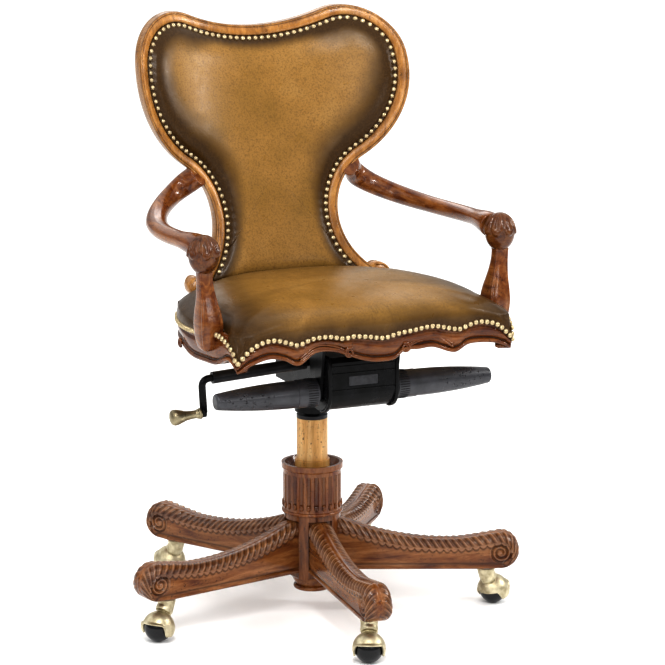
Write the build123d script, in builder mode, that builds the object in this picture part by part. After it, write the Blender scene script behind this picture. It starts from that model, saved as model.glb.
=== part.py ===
from build123d import *
import os
from math import asin, acos, atan2, comb, cos, degrees, radians, sin, sqrt

# A carved desk chair on a five-legged swivel base, in millimetres.
# The origin is on the floor under the column axis, +Z is up and the chair faces -Y,
# so the sitter's left is +X. The gas lift is at its lowest and the seat is upright.

# Fits and clearances
running_fit = 0.05
seat_fit = 0.3
tight_fit = 0.02

# Casters
ball_radius = 23.75
hood_clearance = 0.9
hood_wall = 3.0
hood_rim = 4.5
visor_reach = 4.5
visor_half_turn = 75.0
tongue_root_half = 13.0
tongue_tip_half = 6.0
tongue_drop = 7.0
caster_trail = 23.0
caster_circle = 302.0
caster_headings = (212.0, 245.0, 30.0, 60.0, 100.0)
neck_radius = 16.0
neck_root_radius = 8.0
neck_bottom = 34.0
neck_root_z = 38.0
neck_shoulder_z = 55.0
stem_radius = 5.5
stem_length = 36.0
axle_radius = 3.0
socket_wall = 2.5
socket_flange_radius = 14.0
socket_flange_height = 2.0

# Legs and hub
leg_count = 5
first_leg_angle = 192.5
leg_reach = 358.0
leg_width = 42.0
leg_underside = 71.0
leg_root_height = 92.0
leg_end_height = 64.0
leg_crown = 16.0
toe_rounding = 12.0
nose_rounding = 19.0
hub_flat = 40.0
leg_stations = ((hub_flat, leg_root_height), (105.0, 69.5), (175.0, 55.0), (245.0, 51.5), (297.0, 59.0))
hub_radius = 49.0
hub_bottom = 60.0
hub_top = 172.0
foot_radius = 33.0
foot_height = 26.0
foot_bead = 4.0
dowel_radius = 5.0
dowel_length = 46.0
dowel_inner_end = 28.5
dowel_heights = (94.0, 134.0)

# Fluted drum
drum_radius = 50.0
drum_rim_radius = 53.0
drum_height = 88.0
drum_rim_height = 9.0
drum_rim_wall = 6.0
drum_recess = 12.0
drum_bead = 6.0
flute_count = 24
flute_radius = 4.2
flute_proud = 1.4
flute_margin = 6.0

# Column
tube_radius = 25.0
tube_wall = 1.6
tube_bottom = 62.0
tube_top = 338.0
tube_floor = 6.0
sleeve_wall = 1.7
collar_wall = 3.3
collar_height = 17.0
guide_length = 90.0
guide_flange = 6.0
cylinder_radius = 14.0
cylinder_wall = 2.5
cylinder_bottom = 100.0
cylinder_top = 440.0
cylinder_gland = 10.0
rod_radius = 5.0
rod_shoulder_radius = 12.0
rod_shoulder_height = 4.0
piston_height = 14.0
piston_below_top = 60.0
bearing_radius = 16.0
bearing_height = 5.0
pin_radius = 4.0
pin_length = 20.0
pin_proud = 8.0

# Knee-tilt mechanism
pivot_y = -177.0
pivot_z = 426.0
pivot_radius = 8.0
pivot_half_length = 138.0
cover_half_width = 63.0
cover_depth = 74.0
cover_front = 37.0
cover_top = 488.0
cover_wall = 4.0
cover_belly = 32.0
cover_brow = 8.0
recess_width = 54.0
recess_height = 18.0
recess_depth = 1.2
recess_corner = 2.25
recess_z = 448.0
torsion_radius = 26.0
torsion_half_length = 54.0
bush_radius = 11.5
bush_flange = 2.0
housing_half_width = 48.0
housing_wall = 4.0
housing_roof = 6.0
housing_back_y = 46.0
housing_back_top = 452.0
housing_bottom = 404.0
socket_radius = 30.0
socket_bottom = 350.0
ear_thickness = 5.0
ear_gap = 0.6
ear_half_width = 34.0
ear_end_radius = 17.0
plate_half_width = 105.0
plate_thickness = 4.0
plate_front_y = -222.0
plate_back_y = 70.0
plate_lip = 12.0
bolt_radius = 3.5
bolt_head_radius = 6.5
bolt_head_height = 5.0
bolt_grip = 10.0
bolt_x = 84.0
bolt_front_y = -150.0
bolt_back_y = 44.0
handle_gap = 1.0
handle_end_x = 249.0
handle_root_radius = 23.5
handle_tip_radius = 13.5
handle_seam_x = 108.0
handle_seam_depth = 0.8
handle_seam_width = 1.6
handle_end_round = 4.0
handle_end_cut = 1.3
handle_belly = 2.0

# Tension crank
crank_y = -100.0
crank_wall_z = 458.7
crank_elbow_x = -245.0
crank_elbow_z = 447.0
crank_shaft_radius = 6.0
crank_screw_length = 36.0
crank_sleeve_radius = 10.0
crank_sleeve_start = 8.0
crank_sleeve_end = 22.0
crank_arm_length = 57.0
crank_arm_width = 13.0
crank_arm_thickness = 7.0
knob_length = 56.0
knob_gap = 1.0
knob_pin_radius = 3.5
knob_pin_length = 44.0
knob_dome_radius = 13.0
knob_waist_radius = 7.0
knob_ring_radius = 9.0
knob_ring_length = 5.0
nut_size = 20.0
nut_length = 12.0

# Seat
seat_front_y = -267.0
seat_front_half = 244.0
seat_side_half = 258.0
seat_side_y = -105.0
seat_back_half = 188.0
seat_back_corner_y = 105.0
seat_back_y = 172.0
rail_thickness = 26.0
rail_top = 546.0
rail_bottom = 496.0
apron_depth = 64.0
apron_tip_z = 489.0
apron_arch_z = 509.0
apron_cusp_x = 140.0
apron_cusp_z = 493.0
apron_scroll_z = 513.0
apron_lobe_half = 46.0
apron_lobe_top_z = 501.0
apron_lobe_z = 488.0
side_arch_y = -232.0
side_cusp_y = -196.0
side_lobe_y = -118.0
side_lobe_z = 487.0
side_tail_y = -44.0
side_tail_z = 498.0
board_thickness = 16.0
block_height = 26.0
block_leg = 66.0
cushion_back_y = 127.0
cushion_corner_y = 60.0
cushion_bulge_height = 12.0
cushion_shoulder_height = 28.0
cushion_slope_height = 38.0
cushion_crown_height = 43.0
cushion_foot_inset = 3.0
cushion_shoulder_inset = 16.0
cushion_slope_inset = 50.0
cushion_crown_inset = 105.0

# Back
back_lean = 15.9
back_centre_y = 205.0
back_centre_z = 800.0
back_radius = 390.0
frame_depth = 28.0
frame_width = 18.0
frame_rebate = 3.0
frame_foot_half = 206.0
frame_toe_half = 184.0
crest_joint_z = 900.0
neck_centre_x = 231.0
neck_centre_z = 664.0
neck_arc = 137.0
lobe_arc = 165.0
lobe_half = 228.5
peak_arc = 67.0
peak_turn = 8.6
dip_z = 965.0
pad_bottom_z = 578.0
pad_crown = 20.0
pad_edge_drop = 8.0
pad_rounding = 7.0
pad_setback = 8.0
band_half_turn = 50.0
panel_thickness = 8.0
outside_crown = 5.0

# Arms and posts
arm_path = ((262, -157, 678), (266, -78, 690), (307, 84, 656), (185, 219, 696), (154, 172, 733))
arm_stations = (0.0, 0.2, 0.4, 0.6, 0.8, 1.0)
arm_tip_breadth = 28.0
arm_tip_height = 26.0
arm_elbow_breadth = 37.0
arm_elbow_height = 28.0
arm_root_breadth = 30.0
arm_root_height = 38.0
arm_tenon = 22.0
knuckle_centre = (266.0, -178.0, 669.0)
knuckle_radius = 28.0
knuckle_seat_z = 643.0
post_x = 259.0
post_y = -175.0
post_bottom = 507.0
post_foot_width = 28.0
post_foot_depth = 34.0
post_belly_z = 555.0
post_belly_width = 35.0
post_belly_depth = 46.0
post_neck_z = 604.0
post_neck_width = 27.0
post_neck_depth = 32.0
post_top_width = 26.0
post_top_depth = 28.0
post_notch_gap = 1.0
post_corner = 0.35

# A length that reaches past the whole chair, for cuts and prisms
reach = 400.0

os.makedirs("parts", exist_ok=True)
bottom_up = (Align.CENTER, Align.CENTER, Align.MIN)


def keep(builder, name):
    builder.part.label = name
    export_step(builder.part, f"parts/{name}.step")


def polar(radius, angle):
    return radius * cos(radians(angle)), radius * sin(radians(angle))


def tube(name, inner, outer, bottom, height):
    """A plain ring on the column axis."""
    with BuildPart() as ring:
        with BuildSketch(Plane.XY.offset(bottom)):
            Circle(outer)
            Circle(inner, mode=Mode.SUBTRACT)
        extrude(amount=height)
    keep(ring, name)


leg_angles = [first_leg_angle + 360 / leg_count * index for index in range(leg_count)]

# Casters: a hood with its neck and stem, and a ball on an axle in the hood's tongues
ball_seat = ball_radius + hood_clearance
hood_radius = ball_seat + hood_wall
socket_face = leg_underside - socket_flange_height
neck_top = socket_face - seat_fit
stem_top = neck_top + stem_length
socket_bore = stem_radius + running_fit


def caster(number, leg_angle, heading):
    stem_x, stem_y = polar(caster_circle, leg_angle)
    ahead = Vector(*polar(1, heading))
    stem_line = Axis((stem_x, stem_y, 0), (0, 0, 1))
    ball_x = stem_x + caster_trail * ahead.X
    ball_y = stem_y + caster_trail * ahead.Y
    ball_line = Axis((ball_x, ball_y, 0), (0, 0, 1))
    axle_way = (ahead.Y, -ahead.X, 0)
    side = Plane(origin=(ball_x, ball_y, ball_radius), x_dir=ahead, z_dir=axle_way)
    stem_side = Plane(origin=(stem_x, stem_y, 0), x_dir=ahead, z_dir=axle_way)
    axle_length = 2 * (hood_radius - seat_fit)

    with BuildPart() as hood:
        with Locations(side):
            Sphere(hood_radius)
        with BuildSketch(side):
            with BuildLine():
                Polyline(
                    (tongue_root_half, hood_rim),
                    (hood_radius, hood_rim),
                    (hood_radius, hood_radius),
                    (-hood_radius, hood_radius),
                    (-hood_radius, hood_rim),
                    (-tongue_root_half, hood_rim),
                    (-tongue_tip_half, -tongue_drop),
                )
                ThreePointArc(
                    (-tongue_tip_half, -tongue_drop),
                    (0, -tongue_drop - tongue_tip_half),
                    (tongue_tip_half, -tongue_drop),
                )
                Line((tongue_tip_half, -tongue_drop), (tongue_root_half, hood_rim))
            make_face()
        extrude(amount=hood_radius, both=True, mode=Mode.INTERSECT)
        for turn in (visor_half_turn, -visor_half_turn):
            with BuildSketch(side):
                Polygon(
                    (ball_seat, hood_rim),
                    (hood_radius + visor_reach, hood_rim - hood_wall / 2),
                    (hood_radius + visor_reach, hood_rim + hood_wall / 2),
                    (ball_seat, hood_rim + hood_wall + visor_reach),
                    align=None,
                )
            revolve(axis=ball_line, revolution_arc=turn)
        with BuildSketch(stem_side):
            Polygon(
                (0, neck_bottom),
                (neck_root_radius, neck_root_z),
                (neck_radius, neck_shoulder_z),
                (neck_radius, neck_top),
                (stem_radius, neck_top),
                (stem_radius, stem_top),
                (0, stem_top),
                align=None,
            )
        revolve(axis=stem_line)
        with Locations(side):
            Sphere(ball_seat, mode=Mode.SUBTRACT)
            Cylinder(axle_radius + running_fit, 2 * hood_radius, mode=Mode.SUBTRACT)
    keep(hood, f"caster_hood_{number}")

    with BuildPart() as ball:
        with Locations(side):
            Sphere(ball_radius)
            Cylinder(axle_radius, axle_length)
    keep(ball, f"caster_ball_{number}")


for index, leg_angle in enumerate(leg_angles):
    caster(index + 1, leg_angle, caster_headings[index])

with BuildPart() as caster_sockets:
    for leg_angle in leg_angles:
        with BuildSketch(Plane.XY.offset(socket_face)):
            with Locations(polar(caster_circle, leg_angle)):
                Circle(socket_flange_radius)
        extrude(amount=socket_flange_height)
        with BuildSketch(Plane.XY.offset(leg_underside)):
            with Locations(polar(caster_circle, leg_angle)):
                Circle(socket_bore + socket_wall)
        extrude(amount=stem_length)
        with BuildSketch(Plane.XY.offset(socket_face)):
            with Locations(polar(caster_circle, leg_angle)):
                Circle(socket_bore)
        extrude(amount=stem_length, mode=Mode.SUBTRACT)
keep(caster_sockets, "caster_sockets")

# Legs: arched sections that droop and swell into a round scrolled toe
toe_radius = leg_end_height / 2
toe_centre = leg_reach - toe_radius
leg_sections = (*leg_stations, (toe_centre, leg_end_height))


def leg(number, angle):
    out = Vector(*polar(1, angle))
    across = Vector(*polar(1, angle + 90))
    radial = Plane(origin=(0, 0, 0), x_dir=out, z_dir=-across)
    with BuildPart() as walnut_leg:
        with BuildSketch(radial):
            with Locations((toe_centre, leg_underside + toe_radius)):
                Circle(toe_radius)
        extrude(amount=leg_width / 2, both=True)
        fillet(walnut_leg.edges().filter_by(GeomType.CIRCLE), radius=toe_rounding)
        for radius, height in leg_sections:
            shoulder = leg_underside + height - leg_crown
            with BuildSketch(Plane(origin=out * radius, x_dir=across, z_dir=out)):
                with BuildLine():
                    Polyline(
                        (leg_width / 2, shoulder),
                        (leg_width / 2, leg_underside),
                        (-leg_width / 2, leg_underside),
                        (-leg_width / 2, shoulder),
                    )
                    ThreePointArc(
                        (-leg_width / 2, shoulder),
                        (0, shoulder + leg_crown),
                        (leg_width / 2, shoulder),
                    )
                make_face()
        loft()
        with BuildSketch(Plane(origin=(0, 0, leg_underside), x_dir=out, z_dir=(0, 0, 1))):
            RectangleRounded(2 * leg_reach, leg_width, nose_rounding)
        extrude(amount=leg_root_height, mode=Mode.INTERSECT)
        with Locations((*polar(caster_circle, angle), leg_underside)):
            Cylinder(
                socket_bore + socket_wall + tight_fit,
                stem_length,
                align=bottom_up,
                mode=Mode.SUBTRACT,
            )
        with BuildSketch(Plane(origin=out * dowel_inner_end, x_dir=across, z_dir=out)):
            with Locations(*[(0, height) for height in dowel_heights]):
                Circle(dowel_radius + tight_fit)
        extrude(amount=dowel_length, mode=Mode.SUBTRACT)
    keep(walnut_leg, f"leg_{number}")


for index, leg_angle in enumerate(leg_angles):
    leg(index + 1, leg_angle)

with BuildPart() as leg_dowels:
    for leg_angle in leg_angles:
        along = Plane(origin=(0, 0, 0), x_dir=(0, 0, 1), z_dir=(*polar(1, leg_angle), 0))
        with BuildSketch(along.offset(dowel_inner_end)):
            with Locations(*[(height, 0) for height in dowel_heights]):
                Circle(dowel_radius)
        extrude(amount=dowel_length)
keep(leg_dowels, "leg_dowels")

# Hub with a housing for each leg, and the turned foot under it
housing_top = leg_underside + leg_root_height
with BuildPart() as hub_block:
    with BuildSketch(Plane.XY.offset(hub_bottom)):
        Circle(hub_radius)
        Circle(tube_radius + running_fit, mode=Mode.SUBTRACT)
    extrude(amount=hub_top - hub_bottom)
    with BuildSketch(Plane.XY.offset(hub_bottom)):
        for leg_angle in leg_angles:
            with Locations(Location((*polar(hub_flat + hub_radius / 2, leg_angle), 0), leg_angle)):
                Rectangle(hub_radius, leg_width)
    extrude(amount=housing_top - hub_bottom, mode=Mode.SUBTRACT)
    for leg_angle in leg_angles:
        along = Plane(origin=(0, 0, 0), x_dir=(0, 0, 1), z_dir=(*polar(1, leg_angle), 0))
        with BuildSketch(along.offset(dowel_inner_end)):
            with Locations(*[(height, 0) for height in dowel_heights]):
                Circle(dowel_radius + tight_fit)
        extrude(amount=dowel_length, mode=Mode.SUBTRACT)
keep(hub_block, "hub_block")

foot_bottom = hub_bottom - foot_height
with BuildPart() as hub_foot:
    with BuildSketch(Plane.XZ):
        with BuildLine():
            Polyline(
                (foot_radius - foot_bead, foot_bottom),
                (0, foot_bottom),
                (0, hub_bottom),
                (hub_flat, hub_bottom),
                (hub_flat - foot_bead, hub_bottom - foot_bead),
                (foot_radius - foot_bead, foot_bottom + 2 * foot_bead),
            )
            ThreePointArc(
                (foot_radius - foot_bead, foot_bottom + 2 * foot_bead),
                (foot_radius, foot_bottom + foot_bead),
                (foot_radius - foot_bead, foot_bottom),
            )
        make_face()
    revolve(axis=Axis.Z)
keep(hub_foot, "hub_foot")

# Fluted drum with a dished top
drum_top = hub_top + drum_height
drum_floor = drum_top - drum_recess
drum_rim_bottom = drum_top - drum_rim_height
flute_bottom = hub_top + drum_bead + flute_margin
with BuildPart() as fluted_drum:
    with BuildSketch(Plane.XZ):
        with BuildLine():
            Polyline(
                (drum_radius, hub_top),
                (tube_radius + running_fit, hub_top),
                (tube_radius + running_fit, drum_floor),
                (drum_rim_radius - 2 * drum_rim_wall, drum_floor),
                (drum_rim_radius - drum_rim_wall, drum_top),
                (drum_rim_radius, drum_top),
                (drum_rim_radius, drum_rim_bottom),
                (drum_radius, drum_rim_bottom - drum_bead / 2),
                (drum_radius, hub_top + drum_bead),
            )
            ThreePointArc(
                (drum_radius, hub_top + drum_bead),
                (drum_radius + drum_bead / 2, hub_top + drum_bead / 2),
                (drum_radius, hub_top),
            )
        make_face()
    revolve(axis=Axis.Z)
    with BuildSketch(Plane.XY.offset(flute_bottom)):
        with PolarLocations(drum_radius + flute_proud, flute_count):
            Circle(flute_radius)
    extrude(amount=drum_rim_bottom - drum_bead / 2 - flute_margin - flute_bottom, mode=Mode.SUBTRACT)
keep(fluted_drum, "fluted_drum")

# Column: gas-lift tube in the hub, its sleeve and collar, and the guide bush at its top
tube_bore = tube_radius - tube_wall
with BuildPart() as column_tube:
    with BuildSketch(Plane.XY.offset(tube_bottom)):
        Circle(tube_radius)
    extrude(amount=tube_top - tube_bottom)
    with BuildSketch(Plane.XY.offset(tube_bottom + tube_floor)):
        Circle(tube_bore)
    extrude(amount=tube_top - tube_bottom, mode=Mode.SUBTRACT)
keep(column_tube, "column_tube")

sleeve_bore = tube_radius + running_fit
sleeve_radius = sleeve_bore + sleeve_wall
tube("column_sleeve", sleeve_bore, sleeve_radius, drum_floor, tube_top - drum_floor)
collar_bore = sleeve_radius + running_fit
tube("sleeve_collar", collar_bore, collar_bore + collar_wall, drum_floor, collar_height)

with BuildPart() as guide_bush:
    with BuildSketch(Plane.XY.offset(tube_top - guide_length)):
        Circle(tube_bore - tight_fit)
    extrude(amount=guide_length)
    with BuildSketch(Plane.XY.offset(tube_top)):
        Circle(sleeve_radius)
    extrude(amount=guide_flange)
    with BuildSketch(Plane.XY.offset(tube_top - guide_length)):
        Circle(cylinder_radius + running_fit)
    extrude(amount=guide_length + guide_flange, mode=Mode.SUBTRACT)
keep(guide_bush, "guide_bush")

# Gas lift: bearing, rod with its piston, cylinder and release pin
bearing_bottom = tube_bottom + tube_floor
tube("thrust_bearing", rod_radius + running_fit, bearing_radius, bearing_bottom, bearing_height)

shoulder_bottom = bearing_bottom + bearing_height
piston_top = cylinder_top - piston_below_top
cylinder_bore = cylinder_radius - cylinder_wall
with BuildPart() as piston_rod:
    with BuildSketch(Plane.XY.offset(bearing_bottom)):
        Circle(rod_radius)
    extrude(amount=piston_top - bearing_bottom)
    with BuildSketch(Plane.XY.offset(shoulder_bottom)):
        Circle(rod_shoulder_radius)
    extrude(amount=rod_shoulder_height)
    with BuildSketch(Plane.XY.offset(piston_top - piston_height)):
        Circle(cylinder_bore - running_fit)
    extrude(amount=piston_height)
keep(piston_rod, "piston_rod")

pin_bottom = cylinder_top + pin_proud - pin_length
with BuildPart() as gas_cylinder:
    with BuildSketch(Plane.XY.offset(cylinder_bottom)):
        Circle(cylinder_radius)
    extrude(amount=cylinder_top - cylinder_bottom)
    with BuildSketch(Plane.XY.offset(cylinder_bottom + cylinder_gland)):
        Circle(cylinder_bore)
    extrude(amount=pin_bottom - 2 * cylinder_gland - cylinder_bottom, mode=Mode.SUBTRACT)
    with BuildSketch(Plane.XY.offset(cylinder_bottom)):
        Circle(rod_radius + running_fit)
    extrude(amount=cylinder_gland, mode=Mode.SUBTRACT)
    with BuildSketch(Plane.XY.offset(pin_bottom - cylinder_gland / 2)):
        Circle(pin_radius + running_fit)
    extrude(amount=cylinder_top, mode=Mode.SUBTRACT)
keep(gas_cylinder, "gas_cylinder")

with BuildPart() as release_pin:
    with BuildSketch(Plane.XY.offset(pin_bottom)):
        Circle(pin_radius)
    extrude(amount=pin_length)
keep(release_pin, "release_pin")

# Knee-tilt mechanism: front cover round the pivot, housing over the column
cover_front_y = pivot_y - cover_front
cover_back_y = cover_front_y + cover_depth
knee = Plane(origin=(0, pivot_y, pivot_z), x_dir=(0, 1, 0), z_dir=(1, 0, 0))
with BuildPart() as front_cover:
    with BuildSketch(Plane.YZ):
        with BuildLine():
            Polyline(
                (cover_back_y, housing_bottom),
                (cover_back_y, cover_top),
                (cover_front_y + cover_brow, cover_top),
                (cover_front_y, cover_top - cover_brow),
                (cover_front_y, pivot_z),
            )
            ThreePointArc(
                (cover_front_y, pivot_z),
                (pivot_y, pivot_z - cover_belly),
                (cover_back_y, housing_bottom),
            )
        make_face()
    extrude(amount=cover_half_width, both=True)
    offset(amount=-cover_wall, openings=front_cover.faces().sort_by(Axis.Y)[-1])
    with BuildSketch(knee):
        Circle(bush_radius + tight_fit)
    extrude(amount=reach, both=True, mode=Mode.SUBTRACT)
    with BuildSketch(Plane.XZ.offset(-cover_front_y)):
        with Locations((0, recess_z)):
            RectangleRounded(recess_width, recess_height, recess_corner)
    extrude(amount=-recess_depth, mode=Mode.SUBTRACT)
keep(front_cover, "front_cover")

with BuildPart() as mechanism_housing:
    with BuildSketch(Plane.YZ):
        Polygon(
            (cover_back_y, housing_bottom),
            (housing_back_y, housing_bottom),
            (housing_back_y, housing_back_top),
            (cover_back_y, cover_top),
            align=None,
        )
    extrude(amount=housing_half_width, both=True)
    with BuildSketch(Plane.YZ):
        Polygon(
            (cover_back_y + housing_wall, housing_bottom - housing_wall),
            (housing_back_y - housing_wall, housing_bottom - housing_wall),
            (housing_back_y - housing_wall, housing_back_top - housing_wall),
            (cover_back_y + housing_wall, cover_top - housing_roof),
            align=None,
        )
    extrude(amount=housing_half_width - housing_wall, both=True, mode=Mode.SUBTRACT)
    with BuildSketch(Plane.XY.offset(socket_bottom)):
        Circle(socket_radius)
    extrude(amount=cover_top - socket_bottom)
    with BuildSketch(Plane.YZ):
        Polygon(
            (cover_back_y, cover_top),
            (housing_back_y, housing_back_top),
            (housing_back_y, cover_top + housing_wall),
            (cover_back_y, cover_top + housing_wall),
            align=None,
        )
    extrude(amount=housing_half_width, both=True, mode=Mode.SUBTRACT)
    with BuildSketch(Plane.XY.offset(socket_bottom)):
        Circle(cylinder_radius + tight_fit)
    extrude(amount=housing_back_top - socket_bottom, mode=Mode.SUBTRACT)
    crank_drop = degrees(atan2(crank_wall_z - crank_elbow_z, -housing_half_width - crank_elbow_x))
    crank_way = Vector(-cos(radians(crank_drop)), 0, -sin(radians(crank_drop)))
    crank_wall = Plane(origin=(-housing_half_width, crank_y, crank_wall_z), x_dir=(0, 1, 0), z_dir=crank_way)
    with BuildSketch(crank_wall):
        Circle(crank_shaft_radius + running_fit)
    extrude(amount=housing_wall * 2, both=True, mode=Mode.SUBTRACT)
keep(mechanism_housing, "mechanism_housing")

with BuildPart() as pivot_shaft:
    with BuildSketch(knee):
        Circle(pivot_radius)
    extrude(amount=pivot_half_length, both=True)
keep(pivot_shaft, "pivot_shaft")

with BuildPart() as torsion_sleeve:
    with BuildSketch(knee):
        Circle(torsion_radius)
        Circle(pivot_radius + running_fit, mode=Mode.SUBTRACT)
    extrude(amount=torsion_half_length, both=True)
keep(torsion_sleeve, "torsion_sleeve")

with BuildPart() as pivot_bushes:
    for side in (1, -1):
        with BuildSketch(knee.offset(side * (cover_half_width - cover_wall))):
            Circle(bush_radius)
            Circle(pivot_radius + running_fit, mode=Mode.SUBTRACT)
        extrude(amount=side * (cover_wall + bush_flange))
keep(pivot_bushes, "pivot_bushes")

# Seat plate with ears that hang on the pivot shaft, and its bolts
ear_inner = cover_half_width + bush_flange + ear_gap
board_bottom = rail_top - board_thickness
plate_bottom = board_bottom - plate_thickness
bolt_places = [
    (bolt_x, bolt_front_y),
    (-bolt_x, bolt_front_y),
    (bolt_x, bolt_back_y),
    (-bolt_x, bolt_back_y),
]
with BuildPart() as seat_plate:
    with BuildSketch(Plane.XY.offset(plate_bottom)):
        with Locations((0, (plate_front_y + plate_back_y) / 2)):
            Rectangle(2 * plate_half_width, plate_back_y - plate_front_y)
    extrude(amount=plate_thickness)
    with BuildSketch(Plane.XY.offset(plate_bottom)):
        with Locations((0, (plate_front_y + plate_back_y) / 2)):
            with GridLocations(2 * plate_half_width - plate_thickness, 0, 2, 1):
                Rectangle(plate_thickness, plate_back_y - plate_front_y)
    extrude(amount=-plate_lip)
    for side in (1, -1):
        with BuildSketch(knee.offset(side * ear_inner)):
            Polygon(
                (-ear_end_radius, 0),
                (ear_end_radius, 0),
                (ear_half_width, plate_bottom - pivot_z),
                (-ear_half_width, plate_bottom - pivot_z),
                align=None,
            )
            Circle(ear_end_radius)
            Circle(pivot_radius + tight_fit, mode=Mode.SUBTRACT)
        extrude(amount=side * ear_thickness)
    with BuildSketch(Plane.XY.offset(plate_bottom)):
        with Locations(*bolt_places):
            Circle(bolt_radius + tight_fit)
    extrude(amount=plate_thickness, mode=Mode.SUBTRACT)
keep(seat_plate, "seat_plate")

with BuildPart() as plate_bolts:
    with BuildSketch(Plane.XY.offset(plate_bottom)):
        with Locations(*bolt_places):
            RegularPolygon(bolt_head_radius, 6)
    extrude(amount=-bolt_head_height)
    with BuildSketch(Plane.XY.offset(plate_bottom)):
        with Locations(*bolt_places):
            Circle(bolt_radius)
    extrude(amount=plate_thickness + bolt_grip)
keep(plate_bolts, "plate_bolts")

# Handles that twist on the ends of the pivot shaft
handle_start = ear_inner + ear_thickness + handle_gap


def handle(name, side):
    turned = Plane(origin=(0, pivot_y, pivot_z), x_dir=(side, 0, 0), z_dir=(0, -side, 0))
    with BuildPart() as grip:
        with BuildSketch(turned):
            with BuildLine():
                Polyline(
                    (handle_end_x, 0),
                    (pivot_half_length + handle_gap, 0),
                    (pivot_half_length + handle_gap, pivot_radius + running_fit),
                    (handle_start, pivot_radius + running_fit),
                    (handle_start, handle_root_radius),
                    (handle_seam_x, handle_root_radius),
                    (handle_seam_x, handle_root_radius - handle_seam_depth),
                    (handle_seam_x + handle_seam_width, handle_root_radius - handle_seam_depth),
                )
                ThreePointArc(
                    (handle_seam_x + handle_seam_width, handle_root_radius - handle_seam_depth),
                    (
                        (handle_seam_x + handle_end_x) / 2,
                        (handle_root_radius + handle_tip_radius) / 2 + handle_belly,
                    ),
                    (handle_end_x - handle_end_round, handle_tip_radius),
                )
                ThreePointArc(
                    (handle_end_x - handle_end_round, handle_tip_radius),
                    (handle_end_x - handle_end_cut, handle_tip_radius - handle_end_cut),
                    (handle_end_x, handle_tip_radius - handle_end_round),
                )
                Line((handle_end_x, handle_tip_radius - handle_end_round), (handle_end_x, 0))
            make_face()
        revolve(axis=Axis((0, pivot_y, pivot_z), (1, 0, 0)))
    keep(grip, name)


handle("height_handle", 1)
handle("lock_handle", -1)

# Tension crank: inclined shaft, hanging arm and knob pin, with its sleeve, knob and nut
crank_length = sqrt((crank_elbow_x + housing_half_width) ** 2 + (crank_elbow_z - crank_wall_z) ** 2)
crank_tip = crank_wall.offset(crank_length)
arm_face = crank_wall.offset(crank_length - crank_arm_thickness)
knob_centre = (0, -crank_arm_length)
arm_upright = Plane(origin=arm_face.origin, x_dir=(0, -1, 0), z_dir=crank_way)
pin_face = Plane(origin=crank_tip.origin, x_dir=(0, -1, 0), z_dir=crank_way)
with BuildPart() as tension_crank:
    with BuildSketch(crank_wall.offset(-crank_screw_length)):
        Circle(crank_shaft_radius)
    extrude(amount=crank_screw_length + crank_length)
    with BuildSketch(arm_upright):
        with Locations((0, -crank_arm_length / 2)):
            SlotCenterToCenter(crank_arm_length, crank_arm_width, rotation=90)
    extrude(amount=crank_arm_thickness)
    with BuildSketch(pin_face):
        with Locations(knob_centre):
            Circle(knob_pin_radius)
    extrude(amount=knob_pin_length)
keep(tension_crank, "tension_crank")

with BuildPart() as crank_sleeve:
    with BuildSketch(crank_wall.offset(crank_sleeve_start)):
        Circle(crank_sleeve_radius)
        Circle(crank_shaft_radius + tight_fit, mode=Mode.SUBTRACT)
    extrude(amount=crank_length - crank_sleeve_start - crank_sleeve_end)
keep(crank_sleeve, "crank_sleeve")

knob_root = pin_face.from_local_coords((*knob_centre, knob_gap))
knob_turned = Plane(origin=knob_root, x_dir=crank_way, z_dir=(0, 1, 0))
knob_dome_x = knob_length - knob_gap - knob_dome_radius
knob_barrel = knob_dome_x - sqrt(knob_dome_radius**2 - knob_ring_radius**2)
with BuildPart() as crank_knob:
    with BuildSketch(knob_turned):
        with BuildLine():
            Polyline(
                (knob_dome_x + knob_dome_radius, 0),
                (knob_pin_length, 0),
                (knob_pin_length, knob_pin_radius + running_fit),
                (0, knob_pin_radius + running_fit),
                (0, knob_ring_radius),
                (knob_ring_length, knob_ring_radius),
                (knob_ring_length, knob_waist_radius),
            )
            ThreePointArc(
                (knob_ring_length, knob_waist_radius),
                (knob_barrel / 2, (knob_waist_radius + knob_ring_radius) / 2),
                (knob_barrel, knob_ring_radius),
            )
            ThreePointArc(
                (knob_barrel, knob_ring_radius),
                (knob_dome_x, knob_dome_radius),
                (knob_dome_x + knob_dome_radius, 0),
            )
        make_face()
    revolve(axis=Axis(knob_root, crank_way))
keep(crank_knob, "crank_knob")

nut_face = crank_wall.offset(-crank_screw_length + nut_length / 2)
with BuildPart() as tension_nut:
    with BuildSketch(nut_face):
        Rectangle(nut_size, nut_size)
        Circle(crank_shaft_radius + running_fit, mode=Mode.SUBTRACT)
    extrude(amount=nut_length)
keep(tension_nut, "tension_nut")


# Seat outline: a straight front, sides of two tangent arcs each and a round back
def bow(end_half, end_y):
    """Radius of the arc that leaves the widest place of the seat and ends in a corner."""
    narrowing = seat_side_half - end_half
    return (narrowing**2 + (end_y - seat_side_y) ** 2) / (2 * narrowing)


front_bow = bow(seat_front_half, seat_front_y)
back_bow = bow(seat_back_half, seat_back_corner_y)


def side_point(y, inset):
    """Where the side, set in by an inset, stands at one depth of the seat."""
    radius = front_bow if y < seat_side_y else back_bow
    return seat_side_half - radius + sqrt((radius - inset) ** 2 - (y - seat_side_y) ** 2), y


def flip(point):
    return -point[0], point[1]


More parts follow.
